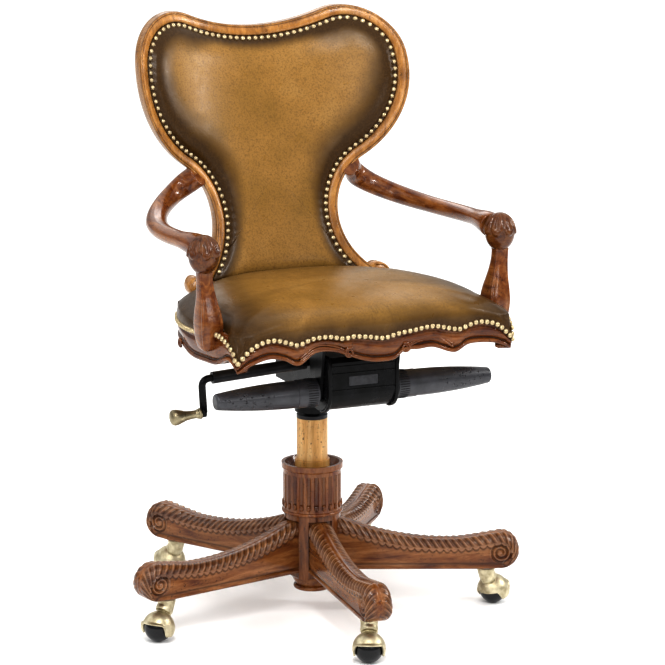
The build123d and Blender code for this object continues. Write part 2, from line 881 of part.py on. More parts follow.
def seat_loop(inset, corner_y, back_y):
    """The seat outline set in by an inset, for a back corner and a back depth."""
    front = side_point(seat_front_y + inset, inset)
    widest = side_point(seat_side_y, inset)
    back = side_point(corner_y - inset / 2, inset)
    front_middle = side_point((front[1] + widest[1]) / 2, inset)
    back_middle = side_point((back[1] + widest[1]) / 2, inset)
    Line(flip(front), front)
    ThreePointArc(front, front_middle, widest)
    ThreePointArc(widest, back_middle, back)
    ThreePointArc(back, (0, back_y - inset), flip(back))
    ThreePointArc(flip(back), flip(back_middle), flip(widest))
    ThreePointArc(flip(widest), flip(front_middle), flip(front))


def rail_loop(inset):
    seat_loop(inset, seat_back_corner_y, seat_back_y)


front_inner = side_point(seat_front_y + rail_thickness, rail_thickness)
front_outer = (front_inner[0] + reach, front_inner[1] - reach)
back_inner = side_point(seat_back_corner_y - rail_thickness / 2, rail_thickness)
back_outer = (back_inner[0] + reach, back_inner[1] + reach / 2)
front_sector = (flip(front_inner), flip(front_outer), front_outer, front_inner)
back_sector = (flip(back_inner), flip(back_outer), back_outer, back_inner)
side_sector = (front_inner, front_outer, (front_outer[0], back_outer[1]), back_outer, back_inner)


def rail_blank(bottom, sector):
    """The part of the seat ring that lies inside one sector, up to the rail top."""
    with BuildPart() as blank:
        with BuildSketch(Plane.XY.offset(bottom)):
            with BuildLine():
                rail_loop(0)
            make_face()
            with BuildLine():
                rail_loop(rail_thickness)
            make_face(mode=Mode.SUBTRACT)
            Polygon(*sector, align=None, mode=Mode.INTERSECT)
        extrude(amount=rail_top - bottom)
    return blank.part


apron_bottom = rail_top - apron_depth
front_blank = rail_blank(apron_bottom, front_sector)
with BuildPart() as front_rail:
    add(front_blank)
    with BuildSketch(Plane.XZ):
        with BuildLine():
            ThreePointArc(
                (apron_lobe_half, apron_lobe_top_z),
                ((apron_lobe_half + apron_cusp_x) / 2, apron_scroll_z),
                (apron_cusp_x, apron_cusp_z),
            )
            ThreePointArc(
                (apron_cusp_x, apron_cusp_z),
                ((apron_cusp_x + seat_front_half) / 2, apron_arch_z),
                (seat_front_half, apron_tip_z),
            )
            Polyline(
                (seat_front_half, apron_tip_z),
                (reach, apron_tip_z),
                (reach, 0),
                (0, 0),
            )
            mirror(about=Plane.YZ)
            ThreePointArc(
                (-apron_lobe_half, apron_lobe_top_z),
                (0, apron_lobe_z),
                (apron_lobe_half, apron_lobe_top_z),
            )
        make_face()
    extrude(amount=reach, both=True, mode=Mode.SUBTRACT)
keep(front_rail, "front_rail")

back_blank = rail_blank(rail_bottom, back_sector)
with BuildPart() as back_rail:
    add(back_blank)
keep(back_rail, "back_rail")

# Arm posts: a vase that swells where it is let into the side rail
post_sections = (
    (post_bottom, post_foot_width, post_foot_depth, 0.0),
    (post_belly_z, post_belly_width, post_belly_depth, 0.1),
    (post_neck_z, post_neck_width, post_neck_depth, 0.7),
    (knuckle_seat_z, post_top_width, post_top_depth, 1.0),
)


def arm_post(name, side):
    with BuildPart() as post:
        for height, width, depth, lean in post_sections:
            centre_x = side * (post_x + lean * (knuckle_centre[0] - post_x))
            centre_y = post_y + lean * (knuckle_centre[1] - post_y) / 2
            with BuildSketch(Plane.XY.offset(height)):
                with Locations((centre_x, centre_y)):
                    RectangleRounded(width, depth, post_corner * width)
        loft()
    keep(post, f"arm_post_{name}")
    return post.part


def side_rail(name, side, post):
    blank = rail_blank(apron_bottom, [(side * x, y) for x, y in side_sector])
    with BuildPart() as rail:
        add(blank)
        with BuildSketch(Plane.YZ):
            with BuildLine():
                ThreePointArc(
                    (seat_front_y, apron_tip_z),
                    (side_arch_y, apron_arch_z),
                    (side_cusp_y, apron_cusp_z),
                )
                ThreePointArc(
                    (side_cusp_y, apron_cusp_z),
                    (side_lobe_y, side_lobe_z),
                    (side_tail_y, side_tail_z),
                )
                Polyline(
                    (side_tail_y, side_tail_z),
                    (seat_back_corner_y, rail_bottom),
                    (reach, rail_bottom),
                    (reach, 0),
                    (-reach, 0),
                    (-reach, apron_tip_z),
                    (seat_front_y, apron_tip_z),
                )
            make_face()
        extrude(amount=reach, both=True, mode=Mode.SUBTRACT)
        add(post, mode=Mode.SUBTRACT)
    keep(rail, f"side_rail_{name}")


sides = {"left": 1, "right": -1}
for name, side in sides.items():
    side_rail(name, side, arm_post(name, side))

# Seat board inside the rails, the corner blocks it stands on, and the cushion
with BuildPart() as seat_board:
    with BuildSketch(Plane.XY.offset(board_bottom)):
        with BuildLine():
            rail_loop(rail_thickness + seat_fit)
        make_face()
        with Locations(*bolt_places):
            Circle(bolt_radius + tight_fit, mode=Mode.SUBTRACT)
    extrude(amount=board_thickness)
keep(seat_board, "seat_board")

with BuildPart() as corner_blocks:
    with BuildSketch(Plane.XY.offset(board_bottom - block_height)):
        for side in sides.values():
            for corner, turn in ((front_inner, 1), (back_inner, -1)):
                corner_x = side * corner[0]
                Polygon(
                    (corner_x + side * rail_thickness, corner[1] - turn * rail_thickness),
                    (corner_x - side * block_leg, corner[1] - turn * rail_thickness),
                    (corner_x + side * rail_thickness, corner[1] + turn * block_leg),
                    align=None,
                )
        with BuildLine():
            rail_loop(rail_thickness)
        make_face(mode=Mode.INTERSECT)
    extrude(amount=block_height)
keep(corner_blocks, "corner_blocks")

cushion_bottom = rail_top + seat_fit
cushion_sections = (
    (0.0, cushion_foot_inset),
    (cushion_bulge_height, seat_fit),
    (cushion_shoulder_height, cushion_shoulder_inset),
    (cushion_slope_height, cushion_slope_inset),
    (cushion_crown_height, cushion_crown_inset),
)


with BuildPart() as seat_cushion:
    for height, inset in cushion_sections:
        with BuildSketch(Plane.XY.offset(cushion_bottom + height)):
            with BuildLine():
                seat_loop(inset, cushion_corner_y, cushion_back_y)
            make_face()
    loft()
    with BuildSketch(Plane.XY.offset(cushion_bottom)):
        for side in sides.values():
            with Locations((side * (post_x + post_belly_width / 2), post_y)):
                Rectangle(2 * (post_belly_width + post_notch_gap), post_belly_depth + 2 * post_notch_gap)
    extrude(amount=reach, mode=Mode.SUBTRACT)
keep(seat_cushion, "seat_cushion")

# Back: tangent arcs for the outline, cut from a leaning cylinder that hugs the sitter
lobe_x = lobe_half - lobe_arc
lobe_z = neck_centre_z + sqrt((lobe_arc + neck_arc) ** 2 - (neck_centre_x - lobe_x) ** 2)
neck_turn = degrees(atan2(lobe_z - neck_centre_z, lobe_x - neck_centre_x))
peak_x = lobe_x + polar(lobe_arc - peak_arc, peak_turn)[0]
peak_z = lobe_z + polar(lobe_arc - peak_arc, peak_turn)[1]
dip_level = dip_z - peak_arc
dip_centre_z = (peak_x**2 + peak_z**2 - dip_level**2) / (2 * (peak_z - dip_level))
dip_arc = dip_centre_z - dip_z
dip_turn = degrees(atan2(dip_centre_z - peak_z, -peak_x))


def back_arcs(grow, neck_start):
    """Left half of the back outline, grown outwards, from the neck up to the dip."""
    CenterArc((neck_centre_x, neck_centre_z), neck_arc - grow, neck_start, neck_turn - neck_start)
    CenterArc((lobe_x, lobe_z), lobe_arc + grow, neck_turn - 180, peak_turn - neck_turn + 180)
    CenterArc((peak_x, peak_z), peak_arc + grow, peak_turn, dip_turn - peak_turn)
    CenterArc((0, dip_centre_z), dip_arc - grow, dip_turn - 180, 90 - dip_turn)


def pad_loop(grow, bottom):
    """The whole outline closed by a straight line at the bottom."""
    drop = degrees(asin((neck_centre_z - bottom) / (neck_arc - grow)))
    corner_x = neck_centre_x - (neck_arc - grow) * cos(radians(drop))
    back_arcs(grow, 180 + drop)
    mirror(about=Plane.YZ)
    Line((corner_x, bottom), (-corner_x, bottom))


def frame_loop(grow):
    """The outline of the carved frame, with its flared feet."""
    turn = degrees(acos((neck_centre_x - frame_foot_half) / (neck_arc - grow)))
    foot_z = neck_centre_z - (neck_arc - grow) * sin(radians(turn))
    back_arcs(grow, 180 + turn)
    Line((frame_foot_half, foot_z), (frame_toe_half, rail_top))
    mirror(about=Plane.YZ)
    Line((frame_toe_half, rail_top), (-frame_toe_half, rail_top))


lean_way = (0, sin(radians(back_lean)), cos(radians(back_lean)))
back_plane = Plane(origin=(0, back_centre_y, back_centre_z), x_dir=(1, 0, 0), z_dir=lean_way)


def back_band(front, front_radius, rear):
    """What lies between two leaning cylinders, set off from the frame's front face."""
    with BuildPart() as band:
        with BuildSketch(back_plane):
            with BuildLine():
                hollow = CenterArc(
                    (0, front - front_radius), front_radius, 90 - band_half_turn, 2 * band_half_turn
                )
                outer = CenterArc(
                    (0, -back_radius), back_radius + rear, 90 - band_half_turn, 2 * band_half_turn
                )
                Line(hollow @ 0, outer @ 0)
                Line(hollow @ 1, outer @ 1)
            make_face()
        extrude(amount=reach, both=True)
    return band.part


frame_grow = frame_rebate + frame_width
frame_band = back_band(0, back_radius, frame_depth)


def frame_piece(name, centre_x, centre_z, width):
    """The part of the carved frame that lies in one rectangle of the front view."""
    with BuildPart() as piece:
        with BuildSketch(Plane.XZ):
            with BuildLine():
                frame_loop(frame_grow)
            make_face()
            with BuildLine():
                pad_loop(frame_rebate, rail_top)
            make_face(mode=Mode.SUBTRACT)
            with Locations((centre_x, centre_z)):
                Rectangle(width, reach, mode=Mode.INTERSECT)
        extrude(amount=reach, both=True)
        add(frame_band, mode=Mode.INTERSECT)
    keep(piece, name)
    return piece.part


frame_piece("crest_rail", 0, crest_joint_z + reach / 2, 2 * reach)
stiles = {
    name: frame_piece(f"back_stile_{name}", side * reach / 2, crest_joint_z - reach / 2, reach)
    for name, side in sides.items()
}

with BuildPart() as back_cross_rail:
    with BuildSketch(Plane.XZ):
        with BuildLine():
            pad_loop(frame_rebate - tight_fit, rail_top)
        make_face()
        with Locations((0, pad_bottom_z - seat_fit - reach / 2)):
            Rectangle(2 * reach, reach, mode=Mode.INTERSECT)
    extrude(amount=reach, both=True)
    add(frame_band, mode=Mode.INTERSECT)
keep(back_cross_rail, "back_cross_rail")

rim_sag = back_radius - sqrt(back_radius**2 - lobe_half**2)
pad_front_sag = rim_sag - pad_edge_drop
pad_front_radius = (lobe_half**2 + pad_front_sag**2) / (2 * pad_front_sag)
pad_band = back_band(-pad_crown, pad_front_radius, pad_setback)
with BuildPart() as back_pad:
    with BuildSketch(Plane.XZ):
        with BuildLine():
            pad_loop(frame_rebate - seat_fit, pad_bottom_z)
        make_face()
    extrude(amount=reach, both=True)
    add(pad_band, mode=Mode.INTERSECT)
    pad_front = back_pad.faces().sort_by(SortBy.AREA)[-2:].sort_by(Axis.Y)[0]
    fillet(pad_front.edges(), radius=pad_rounding)
keep(back_pad, "back_pad")

panel_front = pad_setback + seat_fit
panel_rear = panel_front + panel_thickness
panel_band = back_band(panel_front, back_radius + panel_front, panel_rear)
with BuildPart() as back_panel:
    with BuildSketch(Plane.XZ):
        with BuildLine():
            pad_loop(frame_rebate - tight_fit, pad_bottom_z)
        make_face()
    extrude(amount=reach, both=True)
    add(panel_band, mode=Mode.INTERSECT)
keep(back_panel, "back_panel")

outside_front = panel_rear + seat_fit
outside_band = back_band(outside_front, back_radius + outside_front, frame_depth + outside_crown)
with BuildPart() as outside_back:
    with BuildSketch(Plane.XZ):
        with BuildLine():
            pad_loop(frame_rebate - seat_fit, pad_bottom_z)
        make_face()
    extrude(amount=reach, both=True)
    add(outside_band, mode=Mode.INTERSECT)
    outside_face = outside_back.faces().sort_by(SortBy.AREA)[-2:].sort_by(Axis.Y)[-1]
    fillet(outside_face.edges(), radius=outside_crown)
keep(outside_back, "outside_back")


# Arms: an S-shaped run of ellipses from the knuckle to the side of the stile
def arm_point(share):
    last = len(arm_path) - 1
    point = Vector(0, 0, 0)
    for index, control in enumerate(arm_path):
        weight = comb(last, index) * (1 - share) ** (last - index) * share**index
        point += Vector(*control) * weight
    return point


def arm_way(share):
    last = len(arm_path) - 1
    way = Vector(0, 0, 0)
    for index in range(last):
        weight = comb(last - 1, index) * (1 - share) ** (last - 1 - index) * share**index
        way += (Vector(*arm_path[index + 1]) - Vector(*arm_path[index])) * weight
    return way.normalized()


def between(share, tip, elbow, root):
    """A size that runs from the tip through the elbow of the arm to its root."""
    if share < 0.5:
        return tip + (elbow - tip) * share * 2
    return elbow + (root - elbow) * (share * 2 - 1)


arm_planes = []
for share in arm_stations:
    across = arm_way(share).cross(Vector(0, 0, 1))
    arm_planes.append((share, Plane(origin=arm_point(share), x_dir=across, z_dir=arm_way(share))))
arm_planes.append((1.0, arm_planes[-1][1].offset(arm_tenon)))

with BuildPart() as arm_blank:
    for share, plane in arm_planes:
        with BuildSketch(plane):
            Ellipse(
                between(share, arm_tip_breadth, arm_elbow_breadth, arm_root_breadth) / 2,
                between(share, arm_tip_height, arm_elbow_height, arm_root_height) / 2,
            )
    loft()
    with Locations(knuckle_centre):
        Sphere(knuckle_radius)
    split(bisect_by=Plane.XY.offset(knuckle_seat_z), keep=Keep.TOP)

arm_blanks = {"left": arm_blank.part, "right": mirror(arm_blank.part, about=Plane.YZ)}
for name in sides:
    with BuildPart() as arm:
        add(arm_blanks[name])
        add(stiles[name], mode=Mode.SUBTRACT)
    keep(arm, f"arm_{name}")
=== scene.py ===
# %% [markdown]
# # A carved desk chair
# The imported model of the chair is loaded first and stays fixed: it says where every piece is and how it moves.
# This lesson dresses it with carved wood, stuffed leather, brass nails and the finishes of the real chair.
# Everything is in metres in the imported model's own frame; the chair faces -Y and the sitter's left is +X.

# %% Load the frame
import math
import bpy
import bmesh
from mathutils import Matrix, Vector, noise


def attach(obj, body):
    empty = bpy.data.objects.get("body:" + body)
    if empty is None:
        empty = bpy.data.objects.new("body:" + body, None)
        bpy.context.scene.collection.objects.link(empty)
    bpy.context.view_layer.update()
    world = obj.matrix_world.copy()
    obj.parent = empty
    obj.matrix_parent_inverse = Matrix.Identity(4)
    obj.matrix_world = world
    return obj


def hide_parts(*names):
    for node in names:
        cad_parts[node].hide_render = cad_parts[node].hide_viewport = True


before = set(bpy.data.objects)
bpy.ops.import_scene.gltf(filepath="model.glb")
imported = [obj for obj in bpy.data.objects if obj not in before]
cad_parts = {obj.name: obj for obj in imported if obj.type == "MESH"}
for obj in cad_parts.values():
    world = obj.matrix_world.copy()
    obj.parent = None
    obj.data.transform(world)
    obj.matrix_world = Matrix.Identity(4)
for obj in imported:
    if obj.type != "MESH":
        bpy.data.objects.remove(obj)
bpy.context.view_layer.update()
scene = bpy.context.scene

# %% [markdown]
# The camera stands where the photographer stood: well back, with a long lens, a little above the seat.
# A long lens keeps the near and far legs almost the same size, so the place matters more than the lens.
# Studio pictures of furniture are printed with strong contrast. A gamma below one does that: white stays white
# and the dark tones go deeper. The finishes allow for it, so their colours are the ones seen in the print.

# %% Camera
camera = bpy.data.cameras.new("studio_camera")
camera.sensor_width = 36.0
camera.lens = 155.63
camera_stand = bpy.data.objects.new("studio_camera", camera)
camera_stand.location = (-1.9108, -4.4034, 1.5105)
camera_stand.rotation_euler = (math.radians(77.9502), 0, math.radians(-23.8769))
scene.collection.objects.link(camera_stand)
scene.camera = camera_stand
scene.view_settings.view_transform = "Standard"
PRINT_GAMMA = 0.72
scene.view_settings.gamma = PRINT_GAMMA
print("camera", tuple(camera_stand.location))

# %% [markdown]
# A white sweep under soft boxes: the wide sky lifts the shadows, and the boxes draw the long highlights on
# polished wood and leather. Boxes could be swapped for one sun, but a sun leaves hard shadows on the floor.

# %% Light
sky = bpy.data.worlds.new("white_room")
scene.world = sky
sky.use_nodes = True
backdrop = sky.node_tree.nodes["Background"]
backdrop.inputs["Color"].default_value = (1.0, 1.0, 1.0, 1.0)
backdrop.inputs["Strength"].default_value = 0.5


def soft_box(name, place, aim, wide, high, watts):
    lamp = bpy.data.lights.new(name, "AREA")
    lamp.shape = "RECTANGLE"
    lamp.size = wide
    lamp.size_y = high
    lamp.energy = watts
    stand = bpy.data.objects.new(name, lamp)
    stand.location = place
    stand.rotation_euler = (Vector(aim) - Vector(place)).to_track_quat("-Z", "Y").to_euler()
    scene.collection.objects.link(stand)


soft_box("ceiling_panel", (0, 6, 9.0), (0, 6, 0), 46, 46, 5700)
soft_box("key_box", (2.6, -1.1, 1.9), (0, 0, 0.6), 0.2, 1.2, 35)
soft_box("fill_box", (-1.9, -2.5, 1.8), (0, 0, 0.6), 0.35, 1.4, 19)
soft_box("front_strip", (0.3, -3.3, 1.25), (0, 0, 0.5), 1.6, 0.12, 13)
soft_box("high_strip", (-0.9, -1.9, 3.0), (0, 0, 0.5), 0.12, 1.4, 46)
soft_box("left_strip", (-2.9, -0.2, 1.6), (0, 0, 0.6), 0.1, 1.4, 8)
soft_box("back_box", (0.9, 2.6, 1.8), (0, 0, 0.6), 1.0, 0.8, 4)

# %% [markdown]
# A finish is a small net of nodes. These helpers add one node at a time and join it to the ones before,
# so that each finish below reads as a recipe. Textures use object coordinates: every piece is built in
# place, so the grain stays on the wood when a joint moves.

# %% Node helpers
def paint(code):
    """A colour as the print shows it, as the linear colour that a shader wants."""
    parts = [(int(code[i:i + 2], 16) / 255) ** PRINT_GAMMA for i in (0, 2, 4)]
    return tuple(p / 12.92 if p < 0.04045 else ((p + 0.055) / 1.055) ** 2.4 for p in parts) + (1.0,)


def start_finish(name, rough, metal=0.0, shine=0.5):
    finish = bpy.data.materials.new(name)
    finish.use_nodes = True
    shader = finish.node_tree.nodes["Principled BSDF"]
    shader.inputs["Roughness"].default_value = rough
    shader.inputs["Metallic"].default_value = metal
    shader.inputs["Specular IOR Level"].default_value = shine
    return finish, finish.node_tree, shader


def put(tree, kind, values=None, links=None):
    node = tree.nodes.new(kind)
    for key, value in (values or {}).items():
        if key in node.inputs:
            node.inputs[key].default_value = value
        else:
            setattr(node, key, value)
    for key, source in (links or {}).items():
        tree.links.new(source, node.inputs[key])
    return node


def join(tree, source, shader, socket):
    tree.links.new(source, shader.inputs[socket])


print("a middle grey of the print, as a shader wants it", paint("808080"))

# %% [markdown]
# Patterns come from noise and from ramps that turn a number into a colour, and a mix lays one over another.
# Painted pictures would do the same, but a net of nodes has no seams and needs no file.

# %% Pattern helpers
EVEN = (1, 1, 1)


def stretched(tree, stretch):
    """Object coordinates pulled along the axes; EVEN leaves them as they are."""
    place = put(tree, "ShaderNodeTexCoord").outputs["Object"]
    return put(tree, "ShaderNodeMapping", {"Scale": stretch}, {"Vector": place}).outputs[0]


def cloudy(tree, stretch, scale, detail=5.0, rough=0.55, distort=0.0):
    values = {"Scale": scale, "Detail": detail, "Roughness": rough, "Distortion": distort}
    return put(tree, "ShaderNodeTexNoise", values, {"Vector": stretched(tree, stretch)}).outputs[0]


def ramp(tree, source, stops):
    node = put(tree, "ShaderNodeValToRGB", links={"Fac": source})
    band = node.color_ramp
    while len(band.elements) < len(stops):
        band.elements.new(0.5)
    for element, (place, colour) in zip(band.elements, stops):
        element.position = place
        element.color = colour if isinstance(colour, tuple) else (colour, colour, colour, 1.0)
    return node.outputs[0]


def feed(tree, node, socket, source):
    """Give a socket a number or a colour, or join it to the output of another node."""
    if isinstance(source, (int, float, tuple)):
        node.inputs[socket].default_value = source
    else:
        tree.links.new(source, node.inputs[socket])


def mix(tree, share, first, second, way="MIX"):
    node = put(tree, "ShaderNodeMix", {"data_type": "RGBA", "blend_type": way})
    for socket, source in ((0, share), (6, first), (7, second)):
        feed(tree, node, socket, source)
    return node.outputs[2]


def kept_number(tree, name):
    """The number that a mesh keeps under a name at each of its points."""
    return put(tree, "ShaderNodeAttribute", {"attribute_name": name}).outputs["Fac"]


def relief(tree, shader, source, strength, depth):
    values = {"Strength": strength, "Distance": depth}
    bump = put(tree, "ShaderNodeBump", values, {"Height": source})
    tree.links.new(bump.outputs[0], shader.inputs["Normal"])


# %% [markdown]
# Polished walnut is a warm brown with darker streaks along the grain, small worm specks from distressing
# and a hard shine. Streaks are noise pulled long in one direction; specks are a second, fine noise of
# which only the highest peaks are kept. Carved pieces also carry a number per point for how dark their cuts
# are, dark polish and painted shade together, and one for a painted highlight on the crests of the leaves.
# The turned drum has no such numbers, so the painted shade in its flutes is found by how far a point is from the
# column's axis.

# %% Wood finishes
SPECK, DARK_POLISH_AND_SHADE, PAINTED_HIGHLIGHT = "1c0d05", "160801", "c8a384"


def wood(name, dark, middle, light, grain=(26.0, 3.2, 26.0), rough=0.12, specks=0.85, flutes=None):
    finish, tree, shader = start_finish(name, rough)
    streaks = cloudy(tree, grain, 3.0, 7.0, 0.62, 0.6)
    colour = ramp(tree, streaks, [(0.34, paint(dark)), (0.5, paint(middle)), (0.68, paint(light))])
    broad = cloudy(tree, tuple(g / 3 for g in grain), 3.0, 4.0, 0.6)
    colour = mix(tree, 0.3, colour, ramp(tree, broad, [(0.34, 0.4), (0.56, 1.0)]), "MULTIPLY")
    fine = cloudy(tree, tuple(g * 5 for g in grain), 5.0, 3.0)
    colour = mix(tree, 0.35, colour, ramp(tree, fine, [(0.3, 0.35), (0.7, 1.0)]), "MULTIPLY")
    fleck = ramp(tree, cloudy(tree, EVEN, 240.0, 2.0), [(0.6, 0.0), (0.7, specks)])
    patch = ramp(tree, cloudy(tree, EVEN, 16.0, 2.0), [(0.42, 0.15), (0.62, 1.0)])
    spots = mix(tree, 1.0, fleck, patch, "MULTIPLY")
    colour = mix(tree, spots, colour, paint(SPECK))
    # Cuts are darkened with dark polish and painted shade; leaf crests get a painted highlight.
    colour = mix(tree, kept_number(tree, "polish_and_shade"), colour, paint(DARK_POLISH_AND_SHADE))
    colour = mix(tree, kept_number(tree, "crest_highlight"), colour, paint(PAINTED_HIGHLIGHT))
    # Painted shade in the drum's flutes: points nearer the axis are darker.
    if flutes:
        level_place = stretched(tree, (1, 1, 0))
        out = put(tree, "ShaderNodeVectorMath", {"operation": "LENGTH"}, {0: level_place}).outputs[1]
        colour = mix(tree, ramp(tree, out, flutes), colour, paint(DARK_POLISH_AND_SHADE))
    join(tree, colour, shader, "Base Color")
    join(tree, ramp(tree, fine, [(0.3, rough + 0.1), (0.7, rough)]), shader, "Roughness")
    relief(tree, shader, fine, 0.14, 0.0006)
    return finish


walnut = wood("polished_walnut", "3a1406", "5f2d0e", "80491f")
leg_walnut = wood("leg_walnut", "3c1708", "643414", "855028", grain=(4.0, 26.0, 26.0))
rail_walnut = wood("rail_walnut", "331003", "502307", "6c3914", grain=(4.0, 9.0, 26.0))
drum_walnut = wood("drum_walnut", "260b02", "532609", "733d1a", grain=(26.0, 26.0, 4.0))
# the ramp below paints shade into the flutes
fluted_walnut = wood("fluted_walnut", "45190a", "623012", "7c4620", grain=(26.0, 26.0, 4.0),
                     flutes=[(0.0466, 0.0), (0.0473, 0.92), (0.0496, 0.0)])
honey = wood("honey_frame", "6f4013", "9a5f22", "b87f3c", grain=(22.0, 22.0, 6.0), rough=0.22)
sleeve_wood = wood("pale_sleeve", "b0752f", "cc9048", "e0ae68", grain=(30.0, 30.0, 3.0), rough=0.3)
inner_wood = wood("beech_inside", "a07a4c", "b58d5c", "c7a477", rough=0.6, specks=0.2)
print("wood finishes", [m.name for m in bpy.data.materials])

# %% [markdown]
# Leather needs three more kinds of node: a step of arithmetic, a place along one axis and a pattern of cells.
# The handles use them again, so they are helpers too.

# %% More node helpers
def reckon(tree, operation, *terms):
    """One step of arithmetic: a sum, a comparison and so on."""
    node = put(tree, "ShaderNodeMath", {"operation": operation})
    for socket, term in enumerate(terms):
        feed(tree, node, socket, term)
    return node.outputs[0]


def place_along(tree, axis):
    return put(tree, "ShaderNodeSeparateXYZ", links={0: stretched(tree, EVEN)}).outputs[axis]


def cell_pattern(tree, scale):
    place = stretched(tree, EVEN)
    return put(tree, "ShaderNodeTexVoronoi", {"Scale": scale}, {"Vector": place}).outputs[0]


# %% [markdown]
# Antiqued leather is tan and turns dark towards its nailed border, lighter where the pad stands high.
# Each leather mesh carries a number per point, called edge, that is one at its nailed border and falls to
# zero on top of the padding, and the finish reads it; on the seat it also holds painted shade beside the arm
# posts and in front of the back. The pebbled skin is a cell pattern about a millimetre wide, and fine dark
# speckles lie over everything. Only the seat, which is sat on, has creases: thin lines where a noise that is
# pulled long crosses its middle value.

# %% Leather finish
CREASES_BELOW = 0.598

leather, tree, shader = start_finish("antiqued_leather", 0.3, shine=0.27)
clouds = cloudy(tree, EVEN, 9.0, 4.0)
tan = ramp(tree, clouds, [(0.32, paint("674719")), (0.55, paint("785322")), (0.75, paint("86612e"))])
mottle = cloudy(tree, EVEN, 46.0, 3.0)
wavering = reckon(tree, "MULTIPLY_ADD", mottle, 0.3, -0.15)
# Dark towards the border; on the seat this number also carries painted shade beside the posts and the back.
border_dark = reckon(tree, "ADD", kept_number(tree, "edge"), wavering)
shade = ramp(tree, border_dark, [(0.08, 0.0), (0.5, 0.52), (0.95, 0.98)])
colour = mix(tree, shade, tan, paint("221303"))
speckle = ramp(tree, cloudy(tree, EVEN, 330.0, 3.0, 0.75), [(0.46, 0.0), (0.66, 0.55)])
colour = mix(tree, speckle, colour, paint("3c260f"))
pulled = cloudy(tree, (60, 6, 6), 1.0, 4.0, 0.6, 0.5)
creases = ramp(tree, pulled, [(0.484, 0.0), (0.5, 0.45), (0.516, 0.0)])
on_seat = reckon(tree, "LESS_THAN", place_along(tree, 2), CREASES_BELOW)
patches = ramp(tree, cloudy(tree, EVEN, 14.0, 2.0), [(0.45, 0.0), (0.6, 1.0)])
used = mix(tree, 1.0, patches, on_seat, "MULTIPLY")
colour = mix(tree, mix(tree, 1.0, creases, used, "MULTIPLY"), colour, paint("33200a"))
join(tree, colour, shader, "Base Color")
skin_lines = mix(tree, 0.5, cell_pattern(tree, 620.0), cloudy(tree, EVEN, 120.0, 4.0))
relief(tree, shader, skin_lines, 0.22, 0.0007)
join(tree, ramp(tree, mottle, [(0.3, 0.27), (0.7, 0.36)]), shader, "Roughness")
print("leather nodes", len(tree.nodes))

# %% [markdown]
# The metals and plastics are plain to make: one colour, a little cloud in it, and the right roughness.
# Old brass is greener and duller than new brass, and lacquered steel shows hardly any grain.

# %% Metal and plastic finishes
def cast(name, dark, light, rough, metal, scale=60.0, bump=0.1, shine=0.5):
    finish, tree, shader = start_finish(name, rough, metal, shine=shine)
    cloud = cloudy(tree, EVEN, scale, 4.0)
    join(tree, ramp(tree, cloud, [(0.35, paint(dark)), (0.65, paint(light))]), shader, "Base Color")
    join(tree, ramp(tree, cloud, [(0.3, rough + 0.1), (0.7, rough)]), shader, "Roughness")
    relief(tree, shader, cloudy(tree, EVEN, scale * 9, 2.0), bump, 0.0004)
    return finish


brass = cast("old_brass", "5f5540", "8f8468", 0.36, 1.0)
hood_brass = cast("hood_brass", "94886a", "c9bf9f", 0.4, 1.0, 90.0)
nail_brass = cast("nail_brass", "8f7d5c", "c8b58c", 0.42, 1.0, 300.0)
black_steel = cast("black_steel", "040404", "0a0a0b", 0.24, 0.0, 40.0, 0.06, 0.16)
black_plastic = cast("black_plastic", "0c0c0d", "18181a", 0.34, 0.0, 50.0, 0.12, 0.3)
bright_steel = cast("bright_steel", "8c8c90", "b4b4b8", 0.26, 1.0)
ball_black = cast("ball_black", "050506", "0b0b0d", 0.1, 0.0, 30.0, 0.02, 0.5)
rubber = cast("torsion_rubber", "101010", "1a1a1a", 0.75, 0.0)
plate_grey = cast("bare_plate", "1c1c1e", "29292c", 0.34, 0.0, 90.0, 0.08, 0.3)

print("cast finishes", len(bpy.data.materials))

# %% [markdown]
# The two cross handles are moulded in black with shallow pits in their outer half, which a cell pattern cut
# off at the seam gives. A texture of pits could be painted, but the cells need no picture.

# %% Grip finish
GRIP_SEAM = 0.152

grip, tree, shader = start_finish("pitted_grip", 0.3, shine=0.6)
cloud = cloudy(tree, EVEN, 40.0)
join(tree, ramp(tree, cloud, [(0.3, paint("17171a")), (0.7, paint("28282c"))]), shader, "Base Color")
pits = ramp(tree, cell_pattern(tree, 150.0), [(0.12, 0.0), (0.3, 1.0)])
from_middle = reckon(tree, "ABSOLUTE", place_along(tree, 0))
outer_half = reckon(tree, "GREATER_THAN", from_middle, GRIP_SEAM)
relief(tree, shader, mix(tree, outer_half, (1.0, 1.0, 1.0, 1.0), pits), 0.9, 0.0022)
join(tree, ramp(tree, cloud, [(0.3, 0.34), (0.7, 0.28)]), shader, "Roughness")
print("finishes", len(bpy.data.materials))

# %% [markdown]
# The floor is a pale sweep, so large that the camera sees nothing else behind the chair. It isn't part of
# the chair and rides on no body.

# %% Floor
floor_finish, tree, shader = start_finish("pale_floor", 0.9, shine=0.0)
pale = ramp(tree, cloudy(tree, EVEN, 2.0, 2.0), [(0.3, paint("f7f7f6")), (0.7, paint("fcfcfb"))])
join(tree, pale, shader, "Base Color")
bpy.ops.mesh.primitive_grid_add(x_subdivisions=8, y_subdivisions=8, size=60)
floor = bpy.context.object
floor.name = "studio_floor"
floor.data.materials.append(floor_finish)
print("floor", tuple(floor.dimensions))

# %% [markdown]
# Every CAD node gets a finish, also the ones inside that only a section or an open joint shows.
# A node that a dressed piece replaces further down keeps its finish too, which does no harm.

